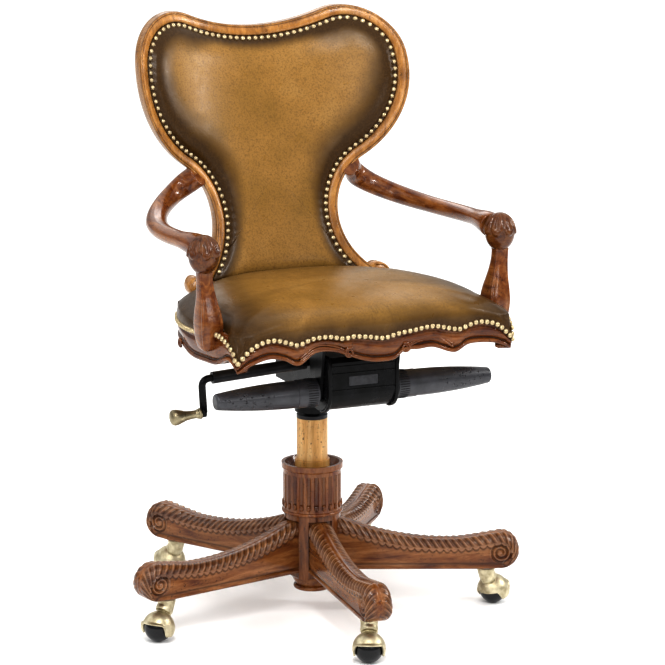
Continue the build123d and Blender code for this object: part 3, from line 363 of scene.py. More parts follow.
# %% Finishes of the CAD nodes
node_finishes = {
    walnut: ["arm_left", "arm_right", "arm_post_left", "arm_post_right", "hub_foot"],
    rail_walnut: ["front_rail", "back_rail", "side_rail_left", "side_rail_right"],
    drum_walnut: ["hub_block"],
    fluted_walnut: ["fluted_drum"],
    leg_walnut: [f"leg_{n}" for n in range(1, 6)],
    honey: ["back_stile_left", "back_stile_right", "crest_rail", "back_cross_rail", "back_panel"],
    sleeve_wood: ["column_sleeve", "sleeve_collar"],
    inner_wood: ["leg_dowels", "seat_board", "corner_blocks"],
    leather: ["seat_cushion", "back_pad", "outside_back"],
    black_steel: ["mechanism_housing", "front_cover", "seat_plate", "tension_crank", "gas_cylinder"],
    black_plastic: ["crank_sleeve", "guide_bush", "pivot_bushes"],
    grip: ["lock_handle", "height_handle"],
    brass: ["crank_knob"],
    hood_brass: [f"caster_hood_{n}" for n in range(1, 6)],
    ball_black: [f"caster_ball_{n}" for n in range(1, 6)],
    rubber: ["torsion_sleeve"],
    bright_steel: ["caster_sockets", "column_tube", "piston_rod", "thrust_bearing", "pivot_shaft",
                   "plate_bolts", "tension_nut", "release_pin"],
}
for finish, names in node_finishes.items():
    for name in names:
        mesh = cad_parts[name].data
        mesh.materials.clear()
        mesh.materials.append(finish)
print("finished nodes", sum(len(names) for names in node_finishes.values()), "of", len(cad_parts))

# %% [markdown]
# Most pieces are skins: rows of points, each row one section of the piece, joined by four-sided faces.
# The first helper weaves such a skin in millimetres and closes its ends; the second makes a piece of it and
# lets it ride on a body.

# %% Skin helper
MM = 0.001
X, Y, Z = Vector((1, 0, 0)), Vector((0, 1, 0)), Vector((0, 0, 1))


def weave(rows):
    """Points and faces of a skin round rows of equal length, with both ends closed."""
    width, last = len(rows[0]), (len(rows) - 1) * len(rows[0])
    faces = []
    for a in range(0, last, width):
        b = a + width
        for c in range(width):
            n = (c + 1) % width
            faces.append((a + c, a + n, b + n, b + c))
    faces.append(tuple(range(width))[::-1])
    faces.append(tuple(last + c for c in range(width)))
    return [Vector(p) for row in rows for p in row], faces


def dress(name, skin, finish, body, smooth=True):
    """A new piece from the points and faces of a skin in millimetres, on its body."""
    points, faces = skin
    mesh = bpy.data.meshes.new(name)
    mesh.from_pydata([tuple(Vector(p) * MM) for p in points], [], faces)
    mesh.validate()
    shape = bmesh.new()
    shape.from_mesh(mesh)
    bmesh.ops.recalc_face_normals(shape, faces=shape.faces)
    shape.to_mesh(mesh)
    shape.free()
    if smooth:
        mesh.shade_smooth()
    mesh.materials.append(finish)
    piece = bpy.data.objects.new(name, mesh)
    scene.collection.objects.link(piece)
    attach(piece, body)
    print("made", name, len(mesh.vertices), "points")
    return piece


# %% [markdown]
# Three small tools serve all the carving: a number kept at every point for the finishes, a smooth line through
# a few knots, and a soft step from zero to one.

# %% Marks, lines and steps
def mark(piece, name, values):
    """Keep a number at every point of a piece for its finish to read."""
    store = piece.data.attributes.new(name, "FLOAT", "POINT")
    store.data.foreach_set("value", [min(max(v, 0.0), 1.0) for v in values])


def smooth_line(knots, value):
    """A height on a smooth line through knots of (place, height)."""
    places = [k[0] for k in knots]
    value = min(max(value, places[0]), places[-1])
    i = max(j for j in range(len(knots) - 1) if places[j] <= value)

    def slope(j):
        a, b = knots[max(j - 1, 0)], knots[min(j + 1, len(knots) - 1)]
        return (b[1] - a[1]) / (b[0] - a[0])

    (x0, y0), (x1, y1) = knots[i], knots[i + 1]
    t = (value - x0) / (x1 - x0)
    span = x1 - x0
    return ((2 * t**3 - 3 * t**2 + 1) * y0 + (t**3 - 2 * t**2 + t) * span * slope(i)
            + (3 * t**2 - 2 * t**3) * y1 + (t**3 - t**2) * span * slope(i + 1))


def ease(low, high, value):
    """Zero below low, one above high, and a soft step between."""
    t = min(max((value - low) / (high - low), 0.0), 1.0)
    return t * t * (3 - 2 * t)


# %% [markdown]
# The seat rail runs round the front and sides in one carved band. Seen from above it is a straight front
# with two bowed sides; seen from the front its lower edge rises and falls in scallops. The leather ends in
# a nailed line that follows the scallops. Both lines were read off the photo and are kept as knots.

# %% Seat lines
front_edge = [(-244, 490), (-220, 502), (-189, 510), (-163, 505), (-139, 495), (-109, 513), (-75, 512),
              (-48, 502), (-22, 493), (5, 489), (31, 491), (48, 503), (75, 504), (100, 505), (140, 493),
              (164, 504), (189, 505), (218, 501), (244, 490)]
front_nails = [(-247, 502), (-232, 522), (-208, 537), (-182, 541), (-156, 534), (-141, 530), (-116, 538),
               (-88, 539), (-61, 534), (-45, 536), (-17, 533), (10, 529), (34, 534), (61, 537), (98, 541),
               (133, 534), (146, 532), (173, 540), (188, 541), (217, 533), (238, 514), (247, 502)]
side_edge = [(-267, 490), (-250, 503), (-232, 506), (-196, 493), (-160, 490), (-105, 488), (-60, 494),
             (-36, 498), (20, 497), (105, 496)]
side_nails = [(-267, 503), (-258, 524), (-217, 543), (-175, 540), (-106, 533), (-20, 530), (60, 531),
              (105, 531)]
FRONT_HALF, FRONT_Y = 244, -267
WIDEST_HALF, WIDEST_Y = 258, -105
REAR_HALF, REAR_Y = 188, 105
POST_Y = -175


def side_half(y):
    """Half the width of the seat at one depth: two arcs that meet where it is widest."""
    end_half, end_y = (FRONT_HALF, FRONT_Y) if y < WIDEST_Y else (REAR_HALF, REAR_Y)
    narrowing = WIDEST_HALF - end_half
    bow = (narrowing**2 + (end_y - WIDEST_Y) ** 2) / (2 * narrowing)
    return WIDEST_HALF - bow + math.sqrt(bow**2 - (y - WIDEST_Y) ** 2)


def on_front(p):
    return p.y < FRONT_Y + 5


def edge_height(p):
    return smooth_line(front_edge, p.x) if on_front(p) else smooth_line(side_edge, p.y)


def nail_height(p):
    return smooth_line(front_nails, p.x) if on_front(p) else smooth_line(side_nails, p.y)


print("seat width at the posts", 2 * side_half(POST_Y))

# %% [markdown]
# Seen from above, the rail's outer face is one line of points. Equal steps give even faces, and a little
# averaging rounds the front corners, as a spokeshave would.

# %% Line of the rail
def even_steps(line, step):
    """The same line with its points at equal steps."""
    out = [line[0]]
    left = step
    for a, b in zip(line, line[1:]):
        run = (b - a).length
        while run >= left and run > 0:
            a = a + (b - a) * (left / run)
            out.append(a)
            run = (b - a).length
            left = step
        left -= run
    return out


def rail_line(back_y, step):
    """The rail's outer face from the left back corner round the front to the right back corner."""
    left = [Vector((side_half(y), y)) for y in range(back_y, FRONT_Y, -3)]
    front = [Vector((x, FRONT_Y)) for x in range(FRONT_HALF, -FRONT_HALF - 1, -4)]
    right = [Vector((-p.x, p.y)) for p in reversed(left)]
    line = even_steps(left + front + right, step)
    for turn in range(6):
        inner = [(a + b * 2 + c) / 4 for a, b, c in zip(line, line[1:], line[2:])]
        line = [line[0]] + inner + [line[-1]]
    return line


def outward(line, i):
    """The way out of a line of points, at one of them."""
    way = line[min(i + 1, len(line) - 1)] - line[max(i - 1, 0)]
    return Vector((-way.y, way.x)).normalized()


print("rail line points", len(rail_line(REAR_Y, 2.0)))

# %% [markdown]
# The band's section, from the bottom up: a round bead that follows the scallops, a groove, a gently swelling
# field and then the flat part under the leather. A modeller could sweep a curve along a path, but the bead
# has to follow a wavy edge, so each section is set out by its own heights.

# %% Carved seat rail
RAIL_TOP, RAIL_THICK = 545.6, 25.6
field_swell = [(-0.6, 0.04), (0.9, 0.2), (2.0, 0.4), (2.4, 0.58), (1.6, 0.74), (-1.2, 0.82), (-1.2, 0.86),
               (0.8, 0.93)]


def rail_section(p, out):
    bottom = edge_height(p)
    field = nail_height(p) - 4 - bottom
    bead = min(3.4, field * 0.17)
    face = [(-3.5, 0.0)]
    face += [(bead * math.cos(a) - 0.8, bead + bead * math.sin(a))
             for a in [math.radians(d) for d in range(-75, 91, 15)]]
    face += [(-3.0, bead * 2.3), (-3.0, bead * 2.7)]
    low = bead * 2.9
    face += [(o, low + (field - low) * t) for o, t in field_swell]
    face += [(-0.4, field), (-3.5, field + 3)]
    section = [(o, bottom + h) for o, h in face]
    section += [(-6.0, RAIL_TOP), (-RAIL_THICK, RAIL_TOP), (-RAIL_THICK, bottom + 3), (-20, bottom)]
    # the groove above the bead is darkened with dark polish and painted shade
    dark = [0.85 * ease(-0.8, -2.7, o) if -3.4 < o else 0.0 for o, z in section]
    return [(p.x + out.x * o, p.y + out.y * o, z) for o, z in section], dark


band_line = rail_line(104, 2.0)
band = [rail_section(p, outward(band_line, i)) for i, p in enumerate(band_line)]
seat_band = dress("carved_seat_rail", weave([row for row, dark in band]), rail_walnut, "seat")
mark(seat_band, "polish_and_shade", [d for row, dark in band for d in dark])
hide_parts("front_rail", "side_rail_left", "side_rail_right")

# %% [markdown]
# Small scrolls finish the bead beside the centre lobe and where the side scallops end. Each is a round
# tube on a spiral that closes in on an eye. A tube along points is useful again for the crank and the arms,
# and so is a helper that gathers several skins into one piece.

# %% Tubes and scrolls
def around(steps):
    """The angles of a full turn in equal steps."""
    return [math.tau * k / steps for k in range(steps)]


def tube(line, sizes, steps=12, up=Z):
    """Rows of round or oval sections along a line of points; a size is (half breadth, half height)."""
    rows = []
    for i, p in enumerate(line):
        way = (line[min(i + 1, len(line) - 1)] - line[max(i - 1, 0)]).normalized()
        across = way.cross(up).normalized()
        rise = across.cross(way)
        wide, high = sizes[i]
        rows.append([p + across * wide * math.cos(a) + rise * high * math.sin(a) for a in around(steps)])
    return rows


def spiral(centre, start, wide, turns, hand, right, up, steps=44):
    """Points that wind in from a wide turn to a small eye."""
    line = []
    for k in range(steps + 1):
        t = k / steps
        radius = wide * (1 - t) ** 0.8 + 1.5
        angle = start + hand * math.tau * turns * t
        line.append(centre + right * radius * math.cos(angle) + up * radius * math.sin(angle))
    return line


def gather(parts):
    """Several (points, faces) joined as one."""
    points, faces = [], []
    for some, ring in parts:
        start = len(points)
        points += some
        faces += [tuple(i + start for i in face) for face in ring]
    return points, faces


def scroll(centre, start, wide, turns, hand, right, up, thick):
    line = spiral(centre, start, wide, turns, hand, right, up)
    sizes = [(thick * (1 - 0.55 * k / len(line)),) * 2 for k in range(len(line))]
    return weave(tube(line, sizes, 10, right.cross(up)))


# %% [markdown]
# Two scrolls a side are set on the band, and two thin reeds follow its lower edge towards the centre lobe. They
# are laid on as mouldings: cutting them out of the band's skin would need far finer rows.

# %% Scrolls on the rail
REED_STEPS = 30
scrolls = []
for side in (1, -1):
    lobe_end, scallop_end = Vector((side * 50, -268.2, 509)), Vector((side * 257.5, -46, 501))
    scrolls.append(scroll(lobe_end, math.radians(60), 6.8, 1.6, 1, X * side * -1, Z, 2.6))
    scrolls.append(scroll(scallop_end, math.radians(250), 5.5, 1.5, 1, Y, Z, 2.6))
    for drop in (7.5, 12.5):
        reed = []
        for k in range(REED_STEPS + 1):
            x = -137 + 82 * k / REED_STEPS
            along = k / REED_STEPS
            height = smooth_line(front_edge, x) + drop * (1 - 0.45 * along**2)
            reed.append(Vector((side * -x, -267.4, height)))
        sizes = [(2.1 - 0.7 * k / REED_STEPS,) * 2 for k in range(REED_STEPS + 1)]
        scrolls.append(weave(tube(reed, sizes, 8)))
dress("rail_scrolls", gather(scrolls), rail_walnut, "seat")

# %% [markdown]
# The seat leather is one skin: from the nailed hem it climbs the face of the rail, rolls over the edge and
# rises to the crown. It is stuffed by simulation. The hem and the nails hold the leather, air pressure pushes
# the rest out, and how far a point may move is capped so that the pad keeps its size.

# %% Stuffing helper
def stuff(piece, held, width, live, pressure, cap, steps=14):
    """Swell the live rows of a skin by pressure, held by the points with a grip, and keep the shape."""
    first, last = live[0] * width, live[1] * width
    rest = [v.co.copy() for v in piece.data.vertices[first:last]]
    faces = [tuple(i - first for i in f.vertices) for f in piece.data.polygons
             if min(f.vertices) >= first and max(f.vertices) < last]
    sheet = bpy.data.objects.new("sheet", bpy.data.meshes.new("sheet"))
    sheet.data.from_pydata([tuple(v) for v in rest], [], faces)
    scene.collection.objects.link(sheet)
    grips = sheet.vertex_groups.new(name="held")
    for index, share in enumerate(held[first:last]):
        if share > 0:
            grips.add([index], share, "REPLACE")
    cloth = sheet.modifiers.new("stuffing", "CLOTH")
    cloth.settings.vertex_group_mass = "held"
    cloth.settings.use_pressure = True
    cloth.settings.uniform_pressure_force = pressure
    cloth.settings.effector_weights.gravity = 0.0
    cloth.settings.tension_stiffness = 20
    cloth.settings.compression_stiffness = 20
    cloth.settings.bending_stiffness = 2.0
    cloth.point_cache.frame_start = 1
    cloth.point_cache.frame_end = steps
    for step in range(1, steps + 1):
        scene.frame_set(step)
    swollen = sheet.evaluated_get(bpy.context.evaluated_depsgraph_get()).data
    moves = [new.co - old for new, old in zip(swollen.vertices, rest)]
    bpy.data.objects.remove(sheet)
    scene.frame_set(1)
    moves = [m * min(1.0, cap * MM / max(m.length, 1e-9)) for m in moves]
    count = len(moves)
    for turn in range(5):
        moves = [(m * 2 + moves[max(i - width, i % width)] + moves[i + width if i + width < count else i]
                  + moves[i - i % width + (i + 1) % width] + moves[i - i % width + (i - 1) % width]) / 6
                 for i, m in enumerate(moves)]
    for index, (old, move) in enumerate(zip(rest, moves)):
        piece.data.vertices[first + index].co = old + move
    piece.data.update()
    print("stuffed", piece.name, "largest move", round(max(m.length for m in moves) / MM, 1), "mm")


# %% [markdown]
# The hem stops short at the arm posts, where the leather is cut round the post and tucked in, and it ends
# before the back frame. The functions here say where the leather runs and how far it has to give way.

# %% Seat outline
SEAT_CENTRE = Vector((0, -70))
CUSHION_BACK, CUSHION_REAR = 60, 127
BOARD_TOP, TUCKED_HEM, ROLL_FOOT = 546.6, 547.5, 548


def seat_ring(step):
    """The closed line of the cushion: rail line at the front and sides, an arc in front of the back."""
    line = rail_line(CUSHION_BACK, step)
    half, deep = side_half(CUSHION_BACK), CUSHION_REAR - CUSHION_BACK
    radius = (half**2 + deep**2) / (2 * deep)
    turn = math.asin(half / radius)
    count = int(2 * turn * radius / step)
    angles = [turn * (2 * k / count - 1) for k in range(1, count)]
    arc = [Vector((radius * math.sin(a), CUSHION_REAR - radius + radius * math.cos(a))) for a in angles]
    return line + arc


def hem_height(p):
    """Height of the leather's lower edge, which is tucked in at the posts and at the back."""
    hem = nail_height(p) - 4.5
    at_post = 0.0 if on_front(p) else 1 - ease(24, 34, abs(p.y - POST_Y))
    return hem + (TUCKED_HEM - hem) * max(at_post, ease(42, 58, p.y))


def post_room(p, height):
    """How far the leather is pulled in beside an arm post."""
    if abs(p.x) < 150:
        return 0.0
    away = p.y - POST_Y
    near = 1 - ease(24, 50, away) if away > 0 else 1 - ease(22, 84, -away)
    return 20.0 * near * (1 - ease(585, 597, height))


def sideness(p):
    """Zero along the front and in front of the back, one at the corners and the sides."""
    return ease(150, 240, abs(p.x)) if on_front(p) else ease(122, 64, p.y)


ring = seat_ring(4.0)
print("seat ring points", len(ring))

# %% [markdown]
# Rows of the skin are given as a height and a distance inwards, so the roll over the edge has its own shape.
# At the front it stands a little proud of the rail and then turns in; at the sides it slopes up more evenly.
# Every point takes a share of each, so the two shapes run into one another at the corners.

# %% Seat leather
rise = [(0.0, -2.4), (0.18, -3.0), (0.4, -3.8), (0.7, -4.4), (1.0, -4.8)]
side_rise = [(0.0, -2.4), (0.18, -3.4), (0.4, -3.8), (0.7, -3.0), (1.0, -1.0)]
roll_knots = [(ROLL_FOOT, -4.8), (553, -5.5), (559, -5.0), (564.5, -3.0), (569.5, 1.5), (573.5, 8), (577, 17),
              (580.5, 30), (583.5, 48), (586.3, 72), (588.3, 100), (589.6, 130), (590.5, 165), (590.9, 202)]
roll_lines = [[(i, knot[part]) for i, knot in enumerate(roll_knots)] for part in (0, 1)]
roll = [tuple(smooth_line(line, k / 2) for line in roll_lines) for k in range(1, 2 * len(roll_knots) - 1)]
side_runs = [207 * (k / (len(roll) - 1)) ** 1.9 for k in range(len(roll))]
side_roll = [(549 + 42 * (1 - math.exp(-d / 40)), d - 0.6) for d in side_runs]


def seat_level(number, hem):
    """Height and inset of one row, at the front and at the sides."""
    if number >= len(rise):
        return roll[number - len(rise)], side_roll[number - len(rise)]
    share, inset = rise[number]
    z = hem + (ROLL_FOOT - hem) * share
    return (z, inset), (z, side_rise[number][1])


rows = [[], [], []]
for p in ring:
    inwards = (SEAT_CENTRE - p).normalized()
    hem = hem_height(p)
    low = p + inwards * (post_room(p, hem) + 1.0)
    rows[0].append((p.x * 0.75, p.y * 0.75, BOARD_TOP))
    rows[1].append((low.x, low.y, BOARD_TOP))
    lip = p - inwards * 0.6 + inwards * post_room(p, hem)
    rows[2].append((lip.x, lip.y, hem))
for number in range(len(rise) + len(roll)):
    row = []
    for p in ring:
        inwards = (SEAT_CENTRE - p).normalized()
        (z, inset), (side_z, side_inset) = seat_level(number, hem_height(p))
        z += (side_z - z) * sideness(p)
        inset += (side_inset - inset) * sideness(p)
        spot = p + inwards * (max(inset, 0) * (SEAT_CENTRE - p).length / 210 + min(inset, 0))
        spot = spot + inwards * max(post_room(p, z) - max(inset, 0) * 0.8, 0)
        row.append((spot.x, spot.y, z))
    rows.append(row)
seat_pad = dress("seat_leather", weave(rows), leather, "seat")
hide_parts("seat_cushion")

# %% [markdown]
# What holds the leather: the underside and the hem fully, the crown partly, and the roll not at all except
# where a nail pulls it down.

# %% Stuff the seat
width = len(ring)
held = []
for r in range(len(rows)):
    for c in range(width):
        near_nail = 0.8 if r in (4, 5) and c % 3 == 0 else 0.0
        held.append(1.0 if r < 4 else near_nail if r < 8 else ease(16, 26, r))
stuff(seat_pad, held, width, (2, 26), 4.0, 6.0)

# %% [markdown]
# After the swelling, the pull folds at the front corners are pressed in. They could be left to the simulation,
# but a few folds in known places look more like an upholsterer's. The same pass works out how dark each point
# is: darker near the hem, the corners and along the sides, and painted shade beside the posts and the back.

# %% Folds and border of the seat
LOWEST_NAIL = 505


def corner_folds(x, y, z):
    """How deep the leather is creased near a front corner: ridges that fan up from the lowest nail."""
    side, up = FRONT_HALF - abs(x), z - LOWEST_NAIL
    depth = y - FRONT_Y
    reach = math.hypot(side, up, depth)
    fan = math.atan2(side - depth, up + 20)
    pleat = -6.5 * math.exp(-((fan / 0.17) ** 2)) * ease(95, 20, reach)
    return pleat + 2.2 * math.cos(fan * 13) * ease(80, 20, reach)


edges = []
for r in range(len(rows)):
    for c in range(width):
        p, vertex = ring[c], seat_pad.data.vertices[r * width + c]
        x, y, z = vertex.co / MM
        above_hem = z - hem_height(p)
        if r > 4 and y < -150:
            out = Vector((x - SEAT_CENTRE.x, y - SEAT_CENTRE.y, 40)).normalized()
            wrinkle = 0.8 * noise.noise(Vector((x / 26, y / 60, z / 40))) * ease(24, 14, r)
            vertex.co += out * (max(corner_folds(x, y, z), -4.0) + wrinkle) * ease(0, 9, above_hem) * MM
        # darker near the hem, the front corners and the sides; post and rear are painted shade where the leather
        # meets the posts and the back
        low = ease(58, 6, above_hem) * 0.95
        corner = 0.9 * ease(170, 20, math.hypot(FRONT_HALF - abs(x), y - FRONT_Y))
        post = 0.95 * ease(26, 4, math.hypot(max(abs(y - POST_Y) - 24, 0), 246 - abs(x)))
        rear = 0.9 * ease(60, 118, y)
        flank = 0.95 * ease(150, 10, side_half(min(max(y, -266), 100)) - abs(x))
        edges.append(max(low, corner, post, rear, flank))
mark(seat_pad, "edge", edges)
seat_pad.data.update()
print("seat top", max(v.co.z for v in seat_pad.data.vertices))

# %% [markdown]
# A nail is a small domed head. Every nail of a row is the same dome, turned to face out of the leather, and
# a row is one mesh, so a few hundred nails cost little.

# %% Nails
dome = [(0.98, -0.4), (1.0, 0.25), (0.86, 0.62), (0.58, 0.88), (0.22, 1.0)]


def nail_heads(places, radius=4.4, high=3.6, steps=12):
    """Domed heads at places, each given as a point and the way out of the leather."""
    head = [[Vector((radius * share * math.cos(a), radius * share * math.sin(a), high * level))
             for a in around(steps)] for share, level in dome]
    parts = []
    for spot, out in places:
        turn = out.normalized().to_track_quat("Z", "Y").to_matrix()
        parts.append(weave([[spot + turn @ p for p in row] for row in head]))
    return gather(parts)


nail_line = even_steps([Vector((p.x, p.y, nail_height(p))) for p in rail_line(46, 2.0)], 10.2)
flat = [Vector((p.x, p.y)) for p in nail_line]
places = []
for i, spot in enumerate(nail_line):
    if abs(spot.y - POST_Y) < 29 and not on_front(spot):
        continue
    out = outward(flat, i)
    places.append((spot + Vector((out.x, out.y, 0)) * 3.4, Vector((out.x, out.y, 0.15))))
dress("seat_nails", nail_heads(places), nail_brass, "seat")
print("seat nails", len(places))

# %% [markdown]
# The back leans and is hollowed like a barrel stave. Its outline is four tangent arcs a side: neck, lobe,
# peak and the dip at the top. A point of the outline is given in the front view, with a depth measured from
# the frame's front face, and one function sets it in space.

# %% Back outline
LEAN, BARREL = math.radians(15.9), 390.0
neck, lobe, peak = Vector((231, 664)), Vector((63.5, 915.3)), Vector((160.5, 930))
NECK_R, LOBE_R, PEAK_R, DIP_Z = 137.0, 165.0, 67.0, 965
dip_centre = (peak.x**2 + peak.y**2 - (DIP_Z - PEAK_R) ** 2) / (2 * (peak.y - DIP_Z + PEAK_R))
DIP_R = dip_centre - DIP_Z
neck_turn = math.atan2(lobe.y - neck.y, lobe.x - neck.x)
peak_turn = math.atan2(peak.y - lobe.y, peak.x - lobe.x)
dip_turn = math.atan2(dip_centre - peak.y, -peak.x)


def set_back(x, z, depth):
    """A place on the back, from its front view and its depth behind the frame's front face."""
    sag = math.sqrt((BARREL + depth) ** 2 - x * x) - BARREL
    return Vector((x, 205 + (sag + (z - 800) * math.sin(LEAN)) / math.cos(LEAN), z))


def outline_arcs(grow, lowest):
    """The four arcs of one side, each as its centre, radius, first angle and last angle."""
    return ((neck, NECK_R - grow, lowest, neck_turn),
            (lobe, LOBE_R + grow, neck_turn - math.pi, peak_turn),
            (peak, PEAK_R + grow, peak_turn, dip_turn),
            ((0, dip_centre), DIP_R - grow, dip_turn - math.pi, -math.pi / 2))


def half_outline(grow, lowest, step=4.0):
    """Right half of the outline in the front view, from the bottom to the dip."""
    line = []
    for (x, z), radius, first, last in outline_arcs(grow, lowest):
        count = max(int(abs(last - first) * radius / step), 2)
        angles = [first + (last - first) * k / count for k in range(count)]
        line += [Vector((x + radius * math.cos(a), z + radius * math.sin(a))) for a in angles]
    return line + [Vector((0, dip_centre - DIP_R + grow))]


def neck_end(grow, bottom):
    """Where on the neck arc the outline reaches a height."""
    return math.pi + math.asin(min((neck.y - bottom) / (NECK_R - grow), 1.0))


def whole_outline(grow, lowest, step=4.0):
    right = half_outline(grow, lowest, step)
    return right + [Vector((-p.x, p.y)) for p in reversed(right[:-1])]


print("outline width", 2 * max(p.x for p in half_outline(0, neck_end(0, 575))))

# %% [markdown]
# The frame is one moulding that runs up one stile, over the crest and down the other. Its section is a
# rounded bar with a shallow line near the outer edge. At the foot the bar runs out into a scroll. Each arc
# has the same number of rows at every growth, so that the rows stay square to the bar.

# %% Back frame
FRAME_FOOT, FOOT_TURN = 548, math.pi + math.radians(64.0)
arc_rows = (26, 34, 16, 18)
# the moulding's section, each point as its growth from the nails, its depth and its painted shade
moulding = [(3.2, 1.0, 0.95), (4.2, -0.8, 0.5), (6.5, -1.6, 0.1), (10, -2.0, 0), (14, -1.8, 0), (16.6, -1.2, 0.1),
            (17.4, 0.7, 0.55), (18.3, -1.1, 0.15), (20, -1.0, 0.1), (21, 0.8, 0.6)]
moulding += [(grow, depth, 0.25) for grow, depth in (
    (21.3, 5), (21.2, 12), (20.8, 19), (19.4, 24.5), (16.5, 27.5), (12, 28), (7, 27.8), (4, 26.5), (3.2, 24),
    (3.2, 14))]


def mirror(rows, side=-1):
    """The same rows on the other side of the chair, or on the same side where side is 1."""
    return [[Vector((side * p.x, p.y, p.z)) for p in row] for row in rows]


def frame_row(number, share):
    """The moulding's section at a share of one of the four arcs."""
    row = []
    for grow, depth, dark in moulding:
        arcs = outline_arcs(grow, min(neck_end(grow, FRAME_FOOT), FOOT_TURN))
        (x, z), radius, first, last = arcs[number]
        a = first + (last - first) * share
        row.append(set_back(x + radius * math.cos(a), z + radius * math.sin(a), depth))
    return row


frame_rows = [frame_row(number, k / count) for number, count in enumerate(arc_rows) for k in range(count)]
frame_rows.append(frame_row(3, 1.0))
frame_rows += mirror(reversed(frame_rows[:-1]))
back_frame = dress("carved_back_frame", weave(frame_rows), honey, "seat")
mark(back_frame, "polish_and_shade", [dark for grow, depth, dark in moulding] * len(frame_rows))
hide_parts("crest_rail", "back_stile_left", "back_stile_right")

# %% [markdown]
# The scroll at each foot is a turned disc with a spiral raised on its face.

# %% Foot scrolls of the back frame
FOOT_X, FOOT_Z, COIL_STEPS = 173, 562, 50
disc_profile = [(0.5, -3.5), (5, -3.4), (11, -2.6), (14.5, -1.0), (16, 2), (16.2, 12), (15.5, 23), (12, 26),
                (0.5, 26.5)]


def foot_point(side, radius, angle, depth):
    return set_back(side * (FOOT_X + radius * math.cos(angle)), FOOT_Z + radius * math.sin(angle), depth)


foot_parts = []
for side in (1, -1):
    disc = [[foot_point(side, radius, a, depth) for a in around(28)] for radius, depth in disc_profile]
    coil = []
    for k in range(COIL_STEPS + 1):
        angle = math.radians(120) - math.tau * 1.7 * k / COIL_STEPS
        coil.append(foot_point(side, 13.5 * (1 - k / COIL_STEPS) ** 0.8 + 1.0, angle, -2.8))
    foot_parts += [weave(disc), weave(tube(coil, [(1.5, 1.5)] * len(coil), 8, Y))]
dress("stile_scrolls", gather(foot_parts), honey, "seat")

# %% [markdown]
# The leather of the back is a pad with a flat nailed border, a round shoulder about five centimetres wide
# and an almost level middle. Its height depends on the distance to the border, which gives the shoulder the
# same shape all round. The border is the outline of the frame, closed by a straight line at the foot.

# %% Border of the back leather
PAD_EYE, PAD_FOOT, PAD_GROW = Vector((0, 740)), 566, 2.6
border_shade = [(570, 36), (680, 44), (790, 84), (870, 88), (950, 62), (1010, 34)]


def border_line(grow, bottom, step):
    ring = whole_outline(grow, neck_end(grow, bottom), step)
    last, first = ring[-1], ring[0]
    count = int((first - last).length / step)
    return ring + [last + (first - last) * k / count for k in range(1, count)]


def border_distance(p, ring):
    return min((p - q).length for q in ring)


print("border points", len(border_line(PAD_GROW, PAD_FOOT, 4.5)))

# %% [markdown]
# A pad is a skin that shrinks from the border to its middle and thins out at the foot, behind the seat. It is
# stuffed like the seat and then shaded: the dark border is wide at the lobes and narrow at the neck. The same
# function makes the flatter leather of the outside back.

# %% Back pads
def pad(name, level, far_side, crown, border_height, node):
    """A stuffed leather pad: level gives the depth for a height above the border."""
    ring = border_line(PAD_GROW, PAD_FOOT, 4.5)
    near = whole_outline(PAD_GROW, neck_end(PAD_GROW, PAD_FOOT - 24), 12.0)
    shares = [1 - (k / 30) ** 1.35 for k in range(29)] + [0.03]
    rows = [[set_back(p.x * 0.5, PAD_EYE.y + (p.y - PAD_EYE.y) * 0.5, far_side) for p in ring],
            [set_back(p.x, p.y, far_side) for p in ring]]
    distances = [0.0] * (2 * len(ring))
    for share in shares:
        row = []
        for p in ring:
            q = PAD_EYE + (p - PAD_EYE) * share
            distance = border_distance(q, near)
            t = min(max(distance - 7, 0) / 50, 1.0)
            tuck = min(max(q.y - PAD_FOOT, 0) / 28, 1.0)
            full = math.sqrt((1 - (1 - t) ** 2) * (1 - (1 - tuck) ** 2))
            height = border_height + (crown - border_height) * full
            row.append(set_back(q.x, q.y, level(height)))
            distances.append(distance)
        rows.append(row)
    piece = dress(name, weave(rows), leather, "seat")
    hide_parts(node)
    width = len(ring)
    held = []
    for r in range(len(rows)):
        for c in range(width):
            nail = 0.7 if r in (4, 5, 6) and c % 3 == 0 else 0.0
            held.append(1.0 if r < 4 else nail if r < 8 else ease(9, 15, r))
    stuff(piece, held, width, (2, 18), 4.0, 4.0)
    shades = []
    for distance, vertex in zip(distances, piece.data.vertices):
        x, y, z = vertex.co / MM
        at_dip = ease(890, 930, z) * ease(150, 80, abs(x))
        shades.append(1.2 * ease(smooth_line(border_shade, z) * (1 - 0.55 * at_dip), 4, distance))
    mark(piece, "edge", shades)


pad("back_leather", lambda h: -h, 7.5, 21, 1.5, "back_pad")
pad("outside_back_leather", lambda h: 26.5 + h, 17.2, 6.5, 0.5, "outside_back")

# %% [markdown]
# Nails follow the border of both pads, a little inside the frame. Each one faces straight out of the leather,
# so its direction is square to a small step across the back and a small step up it.

# %% Back nails
LOWEST_BACK_NAIL = 578


def back_nails(name, depth, out_sign, grow):
    places = []
    for p in even_steps(whole_outline(grow, neck_end(grow, LOWEST_BACK_NAIL), 1.0), 12.0):
        spot = set_back(p.x, p.y, depth)
        ahead = set_back(p.x, p.y, depth + out_sign * 5)
        across = set_back(p.x + 2, p.y, depth) - set_back(p.x - 2, p.y, depth)
        rising = set_back(p.x, p.y + 2, depth) - set_back(p.x, p.y - 2, depth)
        out = across.cross(rising).normalized()
        out = out if out.dot(ahead - spot) > 0 else -out
        places.append((spot, out))
    dress(name, nail_heads(places), nail_brass, "seat")
    print(name, len(places))


back_nails("back_nails", -2.2, -1, -1.0)
back_nails("outside_back_nails", 27.6, 1, -1.5)

# %% [markdown]
# An arm is carved from one piece: an oval bar that sways out and back to the stile, and a knuckle over the
# post. The bar follows one smooth curve that five guide points pull at, and it swells towards the knuckle.

